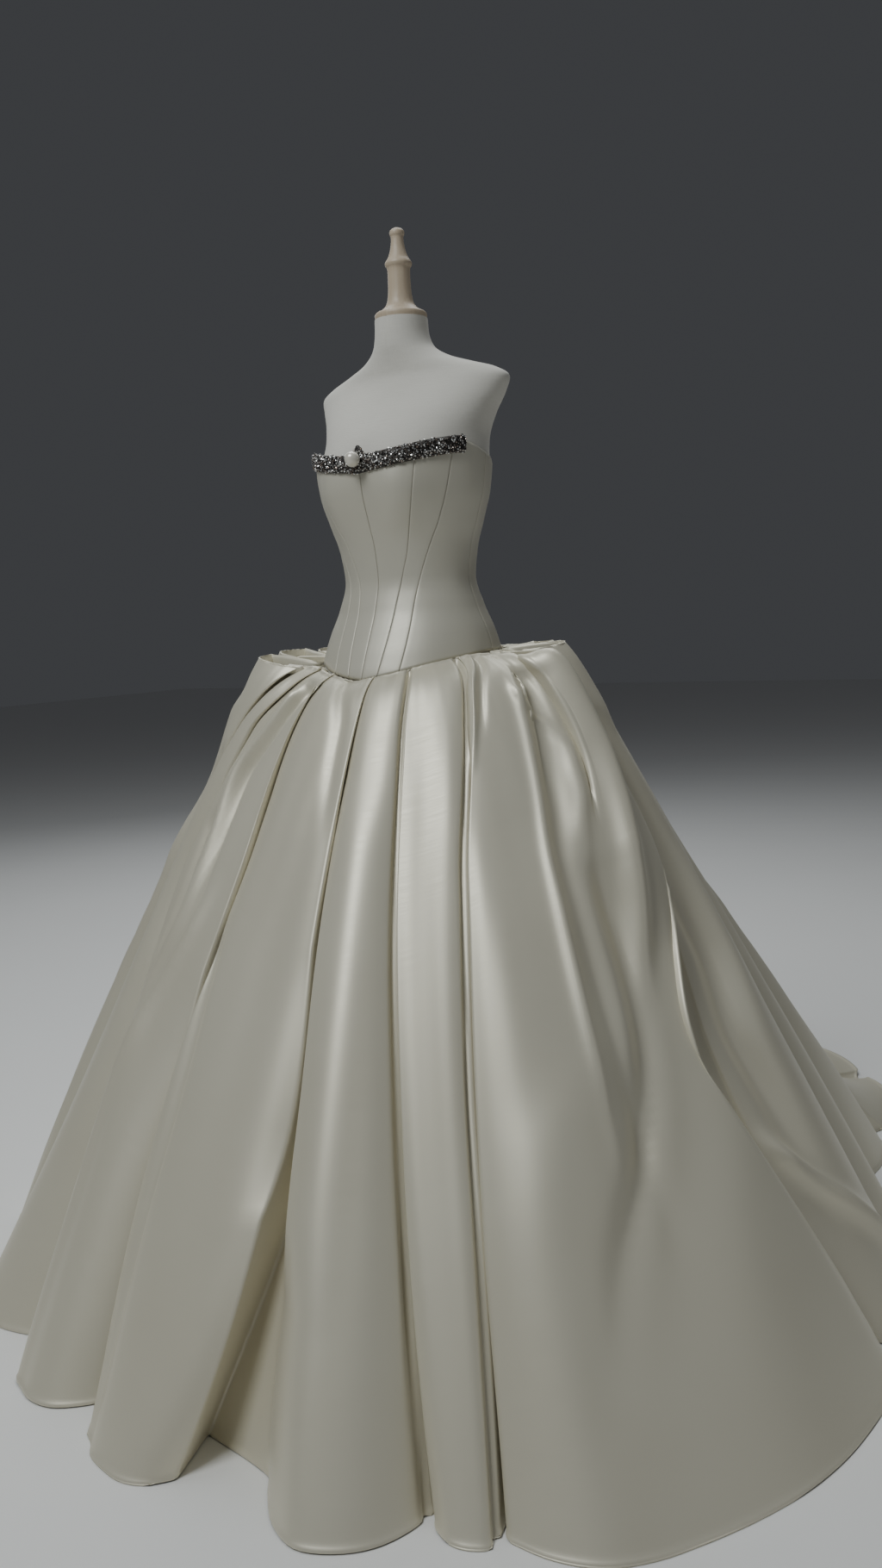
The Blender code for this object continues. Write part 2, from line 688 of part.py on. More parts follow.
def make_finial():
    """Wooden cap on the neck, with a waisted stem, a ring, a flared cone and a small knob."""
    profile = (
        (0.0, 1.6320), (0.0070, 1.6305), (0.0112, 1.6265), (0.0116, 1.6215), (0.0100, 1.6180),
        (0.0104, 1.6080), (0.0125, 1.5970), (0.0165, 1.5860), (0.0205, 1.5800),
        (0.0215, 1.5770), (0.0205, 1.5735), (0.0185, 1.5700), (0.0180, 1.5500),
        (0.0190, 1.5300), (0.0225, 1.5150), (0.0310, 1.5060), (0.0400, 1.5015),
        (0.0415, 1.4980), (0.0410, NECK_TOP + SEAM_GAP), (0.0, NECK_TOP + SEAM_GAP),
    )
    turned("form_finial", profile, WOOD, 20, (0.0, NECK_BACK, 0.0))


def make_stand():
    bpy.ops.mesh.primitive_cylinder_add(vertices=16, radius=POLE_RADIUS, depth=1.0)
    tube = bpy.context.object
    mesh = tube.data.copy()
    bpy.data.objects.remove(tube)
    low = BASE_HEIGHT + SEAM_GAP
    high = FORM_FLOOR - SEAM_GAP
    for vertex in mesh.vertices:
        vertex.co.z = high if vertex.co.z > 0.0 else low
    mesh.shade_smooth()
    mesh.set_sharp_from_angle(angle=math.radians(40.0))
    new_object("form_pole", mesh, STEEL)
    profile = ((0.0, BASE_HEIGHT), (BASE_RADIUS - BASE_BEVEL, BASE_HEIGHT),
               (BASE_RADIUS, BASE_HEIGHT - BASE_BEVEL), (BASE_RADIUS, 0.0), (0.0, 0.0))
    turned("form_base", profile, STEEL, 40)


def main():
    for thing in list(bpy.data.objects):
        bpy.data.objects.remove(thing, do_unlink=True)
    collection = bpy.data.collections.new(COLLECTION)
    bpy.context.scene.collection.children.link(collection)
    make_bodice()
    make_band()
    make_pearl()
    make_skirt()
    make_form()
    make_finial()
    make_stand()


main()
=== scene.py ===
import math
import bmesh
import bpy
import numpy as np
from mathutils import Matrix, Vector, noise


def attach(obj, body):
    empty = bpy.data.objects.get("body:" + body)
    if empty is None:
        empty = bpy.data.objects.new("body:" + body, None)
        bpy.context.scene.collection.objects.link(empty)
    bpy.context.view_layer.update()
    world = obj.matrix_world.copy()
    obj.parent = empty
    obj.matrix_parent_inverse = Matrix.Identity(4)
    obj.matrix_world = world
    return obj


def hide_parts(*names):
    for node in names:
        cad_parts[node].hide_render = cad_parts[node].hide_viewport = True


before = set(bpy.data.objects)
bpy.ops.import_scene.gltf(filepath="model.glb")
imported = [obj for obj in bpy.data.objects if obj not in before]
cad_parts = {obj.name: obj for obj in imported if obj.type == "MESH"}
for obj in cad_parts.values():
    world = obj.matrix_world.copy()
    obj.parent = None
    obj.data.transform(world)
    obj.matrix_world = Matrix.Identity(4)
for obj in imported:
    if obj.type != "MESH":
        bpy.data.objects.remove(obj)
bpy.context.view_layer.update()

# metres, +Z up, the front of the gown faces -Y and the wearer's left is +X
# angles are degrees round Z from the centre front, positive towards the wearer's left
scene = bpy.context.scene
print("frame loaded:", len(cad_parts), "nodes")


# camera

cameraView = {
    "turn": 33.0,        # the camera stands this far round to the wearer's left
    "distance": 2.12,
    "aside": 0.034,
    "height": 1.02,
    "pitch": 7.3,        # it looks down a little
    "roll": 2.7,
    "sensor": 36.0,
    "focus": 1500.0,     # in pixels of a frame 1820 high
    "frameHeight": 1820.0,
    "farClip": 60.0,
}


def addObject(name, data):
    thing = bpy.data.objects.new(name, data)
    scene.collection.objects.link(thing)
    return thing


def addCamera(view):
    turn, pitch, roll = (math.radians(view[name]) for name in ("turn", "pitch", "roll"))
    level = Vector((math.cos(turn), math.sin(turn), 0.0))
    ahead = Vector((-math.sin(turn), math.cos(turn), 0.0))
    place = ahead * -view["distance"] + level * view["aside"] + Vector((0, 0, view["height"]))
    look = ahead * math.cos(pitch) - Vector((0, 0, math.sin(pitch)))
    over = Vector((0, 0, math.cos(pitch))) + ahead * math.sin(pitch)
    right = level * math.cos(roll) - over * math.sin(roll)
    up = over * math.cos(roll) + level * math.sin(roll)
    camera = bpy.data.cameras.new("camera")
    camera.sensor_width = view["sensor"]
    camera.lens = view["focus"] / view["frameHeight"] * view["sensor"]
    camera.clip_end = view["farClip"]
    thing = addObject("camera", camera)
    thing.matrix_world = Matrix((
        (right.x, up.x, -look.x, place.x),
        (right.y, up.y, -look.y, place.y),
        (right.z, up.z, -look.z, place.z),
        (0.0, 0.0, 0.0, 1.0)))
    scene.camera = thing
    return level, ahead


levelWay, aheadWay = addCamera(cameraView)
print("camera placed")


# materials

def toLinear(code):
    values = [int(code[i:i + 2], 16) / 255.0 for i in (1, 3, 5)]
    linear = [v / 12.92 if v <= 0.04045 else ((v + 0.055) / 1.055) ** 2.4 for v in values]
    return (*linear, 1.0)


def addNode(tree, kind, settings=None, links=None):
    node = tree.nodes.new(kind)
    for name, value in (settings or {}).items():
        if isinstance(name, str) and hasattr(node, name):
            setattr(node, name, value)
        else:
            node.inputs[name].default_value = value
    for name, source in (links or {}).items():
        tree.links.new(source, node.inputs[name])
    return node


def startMaterial(name, values):
    material = bpy.data.materials.new(name)
    material.use_nodes = True
    tree = material.node_tree
    shader = tree.nodes["Principled BSDF"]
    for socket, value in values.items():
        shader.inputs[socket].default_value = value
    return material, tree, shader


def ownPlace(tree):
    return addNode(tree, "ShaderNodeTexCoord").outputs["Object"]


# noise over a place in metres; a stretch says how often it repeats in a metre, each way
def addNoise(tree, place, scale=1.0, detail=1.0, stretch=None):
    if stretch:
        place = addNode(tree, "ShaderNodeMapping", {"Scale": stretch},
                        {"Vector": place}).outputs["Vector"]
    return addNode(tree, "ShaderNodeTexNoise", {"Scale": scale, "Detail": detail},
                   {"Vector": place}).outputs["Fac"]


def addMath(tree, operation, one, two):
    node = addNode(tree, "ShaderNodeMath", {"operation": operation}, {0: one})
    if isinstance(two, float):
        node.inputs[1].default_value = two
    else:
        tree.links.new(two, node.inputs[1])
    return node.outputs["Value"]


def mixColours(tree, shader, share, one, two):
    mix = addNode(tree, "ShaderNodeMix", {"data_type": "RGBA"}, {0: share})
    mix.inputs[6].default_value = toLinear(one)
    mix.inputs[7].default_value = toLinear(two)
    tree.links.new(mix.outputs[2], shader.inputs["Base Color"])


def addBump(tree, shader, height, strength, distance):
    bump = addNode(tree, "ShaderNodeBump", {"Strength": strength, "Distance": distance},
                   {"Height": height})
    tree.links.new(bump.outputs["Normal"], shader.inputs["Normal"])


def varyRoughness(tree, shader, source, least, most, low=0.0, high=1.0):
    gloss = addNode(tree, "ShaderNodeMapRange",
                    {"From Min": low, "From Max": high, "To Min": least, "To Max": most},
                    {"Value": source})
    tree.links.new(gloss.outputs["Result"], shader.inputs["Roughness"])


# duchess satin: heavy silk with long warp floats, so it is smooth and takes broad soft lights
satin = {
    "floatWidth": 0.0009,     # wider than a real thread, which is too fine to show
    "floatLength": 0.014,
    "slubWidth": 0.0022,
    "slubLength": 0.060,
    "relief": 0.00012,
    "roughnessRange": 0.03,
    "slubRange": (0.3, 0.7),
}


def makeSatin(name, look):
    material, tree, shader = startMaterial(name, {
        "IOR": 1.52, "Specular IOR Level": look["specular"], "Metallic": look["metallic"],
        "Sheen Weight": look["sheen"], "Sheen Roughness": 0.35,
        "Sheen Tint": toLinear("#fffaf0")})
    cloth = addNode(tree, "ShaderNodeUVMap", {"uv_map": "cloth"}).outputs["UV"]
    tone = addNoise(tree, ownPlace(tree), scale=look["toneScale"], detail=2.0)
    mixColours(tree, shader, tone, look["pale"], look["deep"])
    warp = addNoise(tree, cloth,
                    stretch=(1.0 / satin["floatWidth"], 1.0 / satin["floatLength"], 1.0))
    weft = addNoise(tree, cloth, detail=2.0,
                    stretch=(1.0 / satin["slubLength"], 1.0 / satin["slubWidth"], 1.0))
    addBump(tree, shader, addMath(tree, "ADD", warp, weft), look["weave"], satin["relief"])
    varyRoughness(tree, shader, weft, look["roughness"] - satin["roughnessRange"],
                  look["roughness"] + satin["roughnessRange"], *satin["slubRange"])
    return material


# linen cover: a plain weave stretched over the form, matt and slightly uneven
def makeLinen(name, look):
    material, tree, shader = startMaterial(name, {
        "Roughness": 0.86, "IOR": 1.5, "Sheen Weight": 0.12, "Sheen Roughness": 0.5})
    place = ownPlace(tree)
    across = 1.0 / look["thread"]
    along = across * look["slub"]
    warp = addNoise(tree, place, stretch=(across, across, along))
    weft = addNoise(tree, place, stretch=(along, along, across))
    weave = addMath(tree, "ADD", warp, weft)
    mixColours(tree, shader, addMath(tree, "MULTIPLY", weave, 0.5), look["deep"], look["pale"])
    addBump(tree, shader, weave, *look["relief"])
    return material


# pale beech, turned on a lathe and waxed: fine rings and a low shine
def makeWood(name, look):
    material, tree, shader = startMaterial(name, {})
    place = ownPlace(tree)
    figure = addNoise(tree, place, detail=4.0, stretch=look["grain"])
    marks = addNoise(tree, place, stretch=look["turning"])
    mixColours(tree, shader, figure, look["pale"], look["deep"])
    addBump(tree, shader, marks, *look["relief"])
    varyRoughness(tree, shader, figure, *look["roughness"])
    return material


# powder coated steel: a fine orange peel on a dark grey coat
def makeSteel(name, look):
    material, tree, shader = startMaterial(name, {
        "Roughness": 0.45, "Metallic": 0.0, "Coat Weight": 0.2})
    peel = addNoise(tree, ownPlace(tree), scale=look["peel"])
    mixColours(tree, shader, peel, look["deep"], look["pale"])
    addBump(tree, shader, peel, *look["relief"])
    return material


# foil backed rhinestones: cut glass over silver, so each facet is a small tinted mirror
def makeCrystal(name, look):
    material, tree, shader = startMaterial(name, {
        "Metallic": 0.85, "Roughness": 0.09, "Coat Weight": 0.6, "Coat Roughness": 0.03})
    tint = addNode(tree, "ShaderNodeAttribute", {"attribute_name": "tint"})
    ramp = addNode(tree, "ShaderNodeValToRGB", {}, {"Fac": tint.outputs["Fac"]})
    stops = ramp.color_ramp.elements
    for at, _ in look["tints"][1:-1]:
        stops.new(at)
    for stop, (at, code) in zip(stops, look["tints"]):
        stop.position = at
        stop.color = toLinear(code)
    tree.links.new(ramp.outputs["Color"], shader.inputs["Base Color"])
    return material


# beading net: dark silver thread between the stones, darkened further as painted shade in the gaps
# between them
def makeNet(name, look):
    material, tree, shader = startMaterial(name, {"Metallic": 0.6, "Roughness": 0.4})
    cells = addNode(tree, "ShaderNodeTexVoronoi", {"Scale": look["cells"]},
                    {"Vector": ownPlace(tree)}).outputs["Distance"]
    mixColours(tree, shader, cells, look["pale"], look["deep"])
    addBump(tree, shader, cells, *look["relief"])
    return material


# glass pearl: a smooth ball with a nacre coat, milky with a clear hard highlight
def makePearl(name, look):
    material, tree, shader = startMaterial(name, {
        "Roughness": 0.28, "Coat Weight": 0.9, "Coat Roughness": 0.04, "Coat IOR": 1.6,
        "Sheen Weight": 0.2, "Metallic": 0.15})
    cloud = addNoise(tree, ownPlace(tree), scale=look["cloud"], detail=2.0)
    mixColours(tree, shader, cloud, look["pale"], look["deep"])
    return material


# relief is the strength of the bump and its depth in metres
skirtSatin = makeSatin("duchessSatinSkirt", {
    "pale": "#e2ddc9", "deep": "#dcd5c0", "toneScale": 5.0, "weave": 0.25, "roughness": 0.43,
    "specular": 0.45, "sheen": 0.08, "metallic": 0.30})
# same satin as the skirt, with darker colours: painted shade on the bodice
shadedBodiceSatin = makeSatin("duchessSatinBodiceShaded", {
    "pale": "#d6d2c2", "deep": "#cdc8b7", "toneScale": 9.0, "weave": 0.35, "roughness": 0.44,
    "specular": 0.5, "sheen": 0.08, "metallic": 0.22})
formLinen = makeLinen("stretchedLinen", {
    "pale": "#dedbd2", "deep": "#cdc9be", "thread": 0.0011, "slub": 0.06,
    "relief": (0.5, 0.0003)})
finialWood = makeWood("waxedBeech", {
    "pale": "#cdbfa9", "deep": "#b7a389", "grain": (260.0, 260.0, 16.0),
    "turning": (8.0, 8.0, 1400.0), "relief": (0.35, 0.0002), "roughness": (0.38, 0.55)})
standSteel = makeSteel("coatedSteel", {
    "pale": "#4a4a4a", "deep": "#3c3c3c", "peel": 700.0, "relief": (0.3, 0.0002)})
stoneCrystal = makeCrystal("foiledRhinestone", {
    "tints": ((0.0, "#fbfaf7"), (0.42, "#d2d0cc"), (0.62, "#a08f83"), (0.82, "#423d39"))})
# colours darker than the thread's own: partly painted shade between the stones
bandNetAndGapShade = makeNet("silverThreadNetAndGapShade", {
    "pale": "#4e4a46", "deep": "#211f1d", "cells": 620.0, "relief": (0.8, 0.0006)})
pearlCoat = makePearl("nacreGlass", {"pale": "#f1ecdf", "deep": "#e2dbc9", "cloud": 90.0})
print("materials made")


# curves through tables

def cubic(t, start, end, startSlope, endSlope):
    return ((2 * t ** 3 - 3 * t ** 2 + 1) * start + (t ** 3 - 2 * t ** 2 + t) * startSlope
            + (-2 * t ** 3 + 3 * t ** 2) * end + (t ** 3 - t ** 2) * endSlope)


# cubic through the points that never overshoots between two of them
def makeCurve(points):
    xs = [point[0] for point in points]
    ys = [point[1] for point in points]
    slopes = [(ys[i + 1] - ys[i]) / (xs[i + 1] - xs[i]) for i in range(len(xs) - 1)]
    tangents = []
    for i in range(len(xs)):
        before = slopes[max(i - 1, 0)]
        after = slopes[min(i, len(slopes) - 1)]
        flat = before * after <= 0.0
        tangents.append(0.0 if flat else 2.0 * before * after / (before + after))

    def curve(at):
        if at <= xs[0]:
            return ys[0]
        if at >= xs[-1]:
            return ys[-1]
        k = 0
        while xs[k + 1] < at:
            k += 1
        width = xs[k + 1] - xs[k]
        return cubic((at - xs[k]) / width, ys[k], ys[k + 1], width * tangents[k],
                     width * tangents[k + 1])
    return curve


def makeCurves(names, rows):
    return {name: makeCurve([(row[0], row[i + 1]) for row in rows])
            for i, name in enumerate(names[1:])}


def clamp(value):
    return min(max(value, 0.0), 1.0)


def smoothStep(value):
    value = clamp(value)
    return value * value * (3.0 - 2.0 * value)


def bell(value):
    return math.exp(-value * value)


def waver(x, y, z):
    return noise.noise(Vector((x, y, z)))


def wrapAngle(angle):
    return (angle + 180.0) % 360.0 - 180.0


def atAngle(angle, radius, height, shift=0.0):
    a = math.radians(angle)
    return (radius * math.sin(a), shift - radius * math.cos(a), height)


def ovalRadius(angle, halfWidth, front, back):
    a = math.radians(angle)
    depth = front if math.cos(a) > 0.0 else back
    return 1.0 / math.hypot(math.sin(a) / halfWidth, math.cos(a) / depth)


# the torso under the cloth, and the lines that the bodice is cut to

torsoCurves = makeCurves(("height", "halfWidth", "front", "back"), (
    (0.900, 0.160, 0.152, 0.130),
    (0.930, 0.158, 0.149, 0.127),
    (0.965, 0.151, 0.136, 0.121),
    (1.000, 0.141, 0.119, 0.113),
    (1.040, 0.124, 0.101, 0.102),
    (1.085, 0.1120, 0.0900, 0.0905),
    (1.130, 0.1180, 0.0950, 0.0930),
    (1.175, 0.1320, 0.1080, 0.0990),
    (1.220, 0.1450, 0.1200, 0.1050),
    (1.260, 0.1500, 0.1240, 0.1070),
    (1.320, 0.1520, 0.1230, 0.1080),
))
bust = {"angle": 27.0, "spread": 19.0, "height": 1.212, "reach": 0.052, "fullness": 0.0145}
neckCurve = makeCurve(((0, 1.262), (22, 1.268), (50, 1.279), (72, 1.285), (92, 1.270),
                       (130, 1.250), (180, 1.240)))
waistCurve = makeCurve(((0, 0.930), (20, 0.939), (45, 0.953), (62, 0.960), (90, 0.967),
                        (140, 0.970), (180, 0.970)))
waistLow = 0.930


def bodyRadius(angle, height):
    off = (abs(wrapAngle(angle)) - bust["angle"]) / bust["spread"]
    up = (height - bust["height"]) / bust["reach"]
    full = bust["fullness"] * math.exp(-off * off - up * up)
    return full + ovalRadius(angle, torsoCurves["halfWidth"](height),
                             torsoCurves["front"](height), torsoCurves["back"](height))


def neckHeight(angle):
    return neckCurve(abs(wrapAngle(angle)))


def waistHeight(angle):
    return waistCurve(abs(wrapAngle(angle)))


# mesh helpers

leastLength = 1e-9            # these two keep a division away from nothing
leastGap = 1e-7


# a grid of points as an open sheet, with its size in metres kept as a map for the weave
def gridSheet(name, grid, material, flip=False):
    rows, columns = grid.shape[:2]
    faces = []
    for i in range(rows - 1):
        for j in range(columns - 1):
            a = i * columns + j
            face = (a, a + columns, a + columns + 1, a + 1)
            faces.append(tuple(reversed(face)) if flip else face)
    mesh = bpy.data.meshes.new(name)
    mesh.from_pydata(grid.reshape(-1, 3).tolist(), [], faces)
    across = np.linalg.norm(np.diff(grid, axis=1), axis=2)
    across = np.concatenate([np.zeros((rows, 1)), np.cumsum(across, axis=1)], axis=1)
    across -= across[:, -1:] * 0.5
    along = np.linalg.norm(np.diff(grid, axis=0), axis=2)
    along = np.concatenate([np.zeros((1, columns)), np.cumsum(along, axis=0)], axis=0)
    flat = np.stack([across.ravel(), along.ravel()], axis=1)
    corners = np.empty(len(mesh.loops), dtype=np.int32)
    mesh.loops.foreach_get("vertex_index", corners)
    layer = mesh.uv_layers.new(name="cloth")
    layer.data.foreach_set("uv", flat[corners].astype(np.float32).ravel())
    mesh.shade_smooth()
    mesh.materials.append(material)
    return addObject(name, mesh)


def addWall(thing, thickness):
    wall = thing.modifiers.new("wall", "SOLIDIFY")
    wall.thickness = thickness
    wall.offset = -1.0                        # the sheet is the outer face
    wall.use_rim = True
    wall.use_quality_normals = True


# faces between closed rings of vertices that follow each other
def joinRings(shape, rings):
    faces = []
    for one, two in zip(rings, rings[1:]):
        for j in range(len(one)):
            k = (j + 1) % len(one)
            faces.append(shape.faces.new((one[j], one[k], two[k], two[j])))
    return faces


# a shape as an object: smooth if it has a material, with edges above the sharp angle kept
def shapeObject(name, shape, material=None, sharp=None):
    mesh = bpy.data.meshes.new(name)
    shape.to_mesh(mesh)
    shape.free()
    if material:
        mesh.shade_smooth()
        mesh.materials.append(material)
    if sharp:
        mesh.set_sharp_from_angle(angle=math.radians(sharp))
    return addObject(name, mesh)


# surface normals of a grid, pointing away from the axis
def gridNormals(grid):
    along = np.gradient(grid, axis=0)
    across = np.gradient(grid, axis=1)
    normals = np.cross(along, across)
    normals /= np.maximum(np.linalg.norm(normals, axis=2, keepdims=True), leastLength)
    outward = normals[..., 0] * grid[..., 0] + normals[..., 1] * grid[..., 1]
    return normals if outward.sum() > 0.0 else -normals


# a smooth line through control rows, shape (rows, points, values), with some steps per span
def splineAcross(points, steps):
    result = []
    count = points.shape[1]
    places = points[..., :3]
    for j in range(count - 1):
        p0 = points[:, max(j - 1, 0)]
        p1 = points[:, j]
        p2 = points[:, j + 1]
        p3 = points[:, min(j + 2, count - 1)]
        d0 = np.linalg.norm(places[:, j] - places[:, max(j - 1, 0)], axis=1)
        d1 = np.linalg.norm(places[:, j + 1] - places[:, j], axis=1)
        d2 = np.linalg.norm(places[:, min(j + 2, count - 1)] - places[:, j + 1], axis=1)
        t0, t1, t2 = (np.sqrt(np.maximum(d, leastGap))[:, None] for d in (d0, d1, d2))
        m1 = (p1 - p0) / t0 - (p2 - p0) / (t0 + t1) + (p2 - p1) / t1
        m2 = (p2 - p1) / t1 - (p3 - p1) / (t1 + t2) + (p3 - p2) / t2
        if j == 0:
            m1 = (p2 - p1) / t1
        if j == count - 2:
            m2 = (p2 - p1) / t1
        m1 = m1 * t1
        m2 = m2 * t1
        for n in range(steps[j]):
            result.append(cubic(n / steps[j], p1, p2, m1, m2))
    result.append(points[:, -1])
    return np.stack(result, axis=1)


# bodice: ten panels, each turned under a little at its seams

bodice = {
    "wall": 0.0020,
    "seamGap": 0.0003,
    "rows": 64,
    "insideColumns": 12,
    "edgeSteps": (0.0, 0.0005, 0.0011, 0.0020, 0.0032, 0.0050, 0.0075),
    "edgeDrop": 0.0007,       # how far the cloth rolls in at a seam
    "edgeReach": 0.0007,
    "channel": 0.00010,       # how far the boning beside each seam shows
    "channelPlace": 0.0052,
    "channelWidth": 0.0022,
    "drag": 0.00030,          # faint level wrinkles at the waist
    "dragHeight": 1.075,
    "dragReach": 0.045,
    "dragAcross": 0.035,      # wrinkles in a degree and in a metre
    "dragUp": 75.0,
    "dragSeed": 3.1,
    "swell": 0.0005,          # the cloth is never quite flat
    "swellAcross": 0.05,
    "swellUp": 9.0,
    "swellSeed": 8.2,
    "topRoll": 0.0009,
    "topReach": 0.0015,
    "startHeight": 1.1,       # a point's height and angle depend on each other, so it is placed
    "passes": 5,              # from this height in a few passes
}
seamCurves = makeCurves(("height", "princess", "sideFront", "side", "sideBack"), (
    (0.930, 10.0, 23.0, 88.0, 142.0),
    (1.000, 16.0, 31.0, 90.0, 140.0),
    (1.050, 21.0, 37.0, 90.0, 138.0),
    (1.090, 27.0, 44.0, 90.0, 137.0),
    (1.130, 33.0, 51.0, 90.0, 136.0),
    (1.170, 35.5, 57.0, 90.0, 135.0),
    (1.220, 38.0, 61.0, 90.0, 134.0),
    (1.300, 43.0, 66.0, 90.0, 132.0),
))
seamCurves["centreFront"] = lambda height: 0.0
seamCurves["centreBack"] = lambda height: 180.0
# node, the two seams, and the cut: width, length and area of one panel in metres
bodicePanels = (
    ("front", "centreFront", "princess", (0.090, 0.34), 0.0195),
    ("side_front", "princess", "sideFront", (0.062, 0.34), 0.0145),
    ("side", "sideFront", "side", (0.150, 0.33), 0.033),
    ("side_back", "side", "sideBack", (0.120, 0.31), 0.0315),
    ("back", "sideBack", "centreBack", (0.100, 0.28), 0.023),
)


def panelGrid(first, last, side):
    edges = bodice["edgeSteps"]
    inside = bodice["insideColumns"]
    columns = 2 * len(edges) + inside - 1
    rows = []
    for i in range(bodice["rows"] + 1):
        up = i / bodice["rows"]
        row = []
        height = bodice["startHeight"]
        for j in range(columns):
            for _ in range(bodice["passes"]):
                start = seamCurves[first](height)
                end = seamCurves[last](height)
                radius = bodyRadius(start, height)
                width = math.radians(end - start) * radius - bodice["seamGap"]
                if j < len(edges):
                    off = edges[j]
                elif j >= len(edges) + inside - 1:
                    off = width - edges[columns - 1 - j]
                else:
                    share = (j - len(edges) + 1) / inside
                    off = edges[-1] + (width - 2 * edges[-1]) * share
                angle = start + math.degrees((0.5 * bodice["seamGap"] + off) / radius)
                low = waistHeight(angle)
                height = low + (neckHeight(angle) - low) * up
            near = min(off, width - off)
            move = -bodice["edgeDrop"] * bell(near / bodice["edgeReach"])
            move += bodice["channel"] * bell(
                (near - bodice["channelPlace"]) / bodice["channelWidth"])
            waist = bell((height - bodice["dragHeight"]) / bodice["dragReach"])
            move += bodice["drag"] * waist * waver(
                side * angle * bodice["dragAcross"], bodice["dragSeed"],
                height * bodice["dragUp"])
            move += bodice["swell"] * waver(
                side * angle * bodice["swellAcross"], bodice["swellSeed"],
                height * bodice["swellUp"])
            top = neckHeight(angle) - height
            move -= bodice["topRoll"] * bell(top / bodice["topReach"])
            row.append(atAngle(side * angle, bodyRadius(angle, height) + move, height))
        rows.append(row)
    return np.array(rows)


for panel, first, last, flat, area in bodicePanels:
    for hand, side in (("left", 1), ("right", -1)):
        grid = panelGrid(first, last, side)
        piece = gridSheet(f"bodice_{panel}_{hand}_satin", grid, shadedBodiceSatin, flip=side > 0)
        addWall(piece, bodice["wall"])
        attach(piece, "root")
        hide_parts(f"bodice_{panel}_{hand}")
print("bodice made:", 2 * len(bodicePanels), "panels")


# skirt: long folds that fall from the waist seam to the hem

skirt = {
    "wall": 0.0016,
    "seamGap": 0.0003,
    "waistGap": 0.0006,
    "rows": 84,
    "rowPower": 1.35,         # rows crowd towards the waist seam
    "shelfStep": 0.015,       # how soon under the seam the pleats stand out
    "bodyClearance": 0.0010,
    "trainStart": 0.87,       # the hem radius where the train begins, and over how much
    "trainWidth": 0.22,
    "trainSweep": 0.75,
    "trainFlare": 0.45,
    "lyingStart": 0.55,       # the steps over which the train comes to lie down
    "lyingSteps": 0.35,
    "restStart": 0.78,        # the end of the train settles on the floor
    "rest": 0.62,
    "hemBulge": 0.022,
    "slopeStep": 0.02,
    "fall": 1.25,             # about the length of the cloth from seam to hem
    "hemRows": (0.014, 0.0095, 0.0070, 0.0050, 0.0034, 0.0018, 0.0),
}
foldForm = {
    "neckShare": 0.34,        # how far a valley spreads under a standing pleat, at the top
    "neckStep": 0.06,
    "shortNeck": 0.3,
    "standingReach": 0.03,    # pleats that reach out further than this stand
    "standingRange": 0.05,
    "edgeShape": -0.07,       # the rim of a fold, and how much deeper its lapped side lies
    "underEdge": -0.42,
    "hemRounding": -0.28,
    "lappedTuck": 2.0,
    "edgeDraw": 0.45,
    "deepestEdge": -0.95,
    "deepestRoll": -0.96,
    "mouth": 0.008,
    "lappedMouth": 0.0028,
    "mouthPower": 4,
    "softStep": 0.30,
    "valleyWidth": 0.004,
    "runOut": 0.010,          # a short fold ends as six places spread evenly over this width
    "runOutShares": (-1.0, -0.6, -0.2, 0.2, 0.6, 1.0),
    "roll": 0.0032,           # how tightly the cloth rolls over at the rim of a fold
    "rollGrowth": 0.0060,
    "rollDraw": 0.45,
    "crown": 7,               # places across the crown of a lobe
    "foldSpans": (3, 6, 1, 6, 3),     # steps of the smooth line across a fold, and along a crown
    "crownSpan": 4,
}

# round the body: angle, reach of the pleats at the seam and just below it, radius of the
# crests at the hem, and how far the rims of the pleats rise above the seam
spreadCurves = makeCurves(("angle", "reach", "below", "hem", "rise"), (
    (-180, 0.030, 0.070, 1.18, 0.000),
    (-157, 0.032, 0.075, 1.08, 0.000),
    (-140, 0.050, 0.090, 0.93, 0.002),
    (-125, 0.080, 0.108, 0.79, 0.006),
    (-110, 0.095, 0.112, 0.755, 0.010),
    (-90, 0.106, 0.118, 0.735, 0.012),
    (-60, 0.106, 0.116, 0.735, 0.012),
    (-50, 0.078, 0.096, 0.745, 0.006),
    (-38, 0.022, 0.052, 0.755, 0.000),
    (-25, 0.015, 0.040, 0.745, 0.000),
    (-12, 0.013, 0.036, 0.745, 0.000),
    (4, 0.013, 0.034, 0.785, 0.000),
    (20, 0.013, 0.034, 0.825, 0.000),
    (32, 0.014, 0.036, 0.810, 0.000),
    (47, 0.015, 0.044, 0.875, 0.000),
    (60, 0.018, 0.055, 0.860, 0.000),
    (73, 0.034, 0.078, 0.828, -0.002),
    (84, 0.085, 0.104, 0.800, -0.012),
    (98, 0.100, 0.112, 0.780, 0.002),
    (112, 0.102, 0.114, 0.762, 0.008),
    (125, 0.085, 0.106, 0.770, 0.007),
    (140, 0.052, 0.086, 0.91, 0.002),
    (157, 0.032, 0.075, 1.07, 0.000),
    (180, 0.030, 0.070, 1.18, 0.000),
))

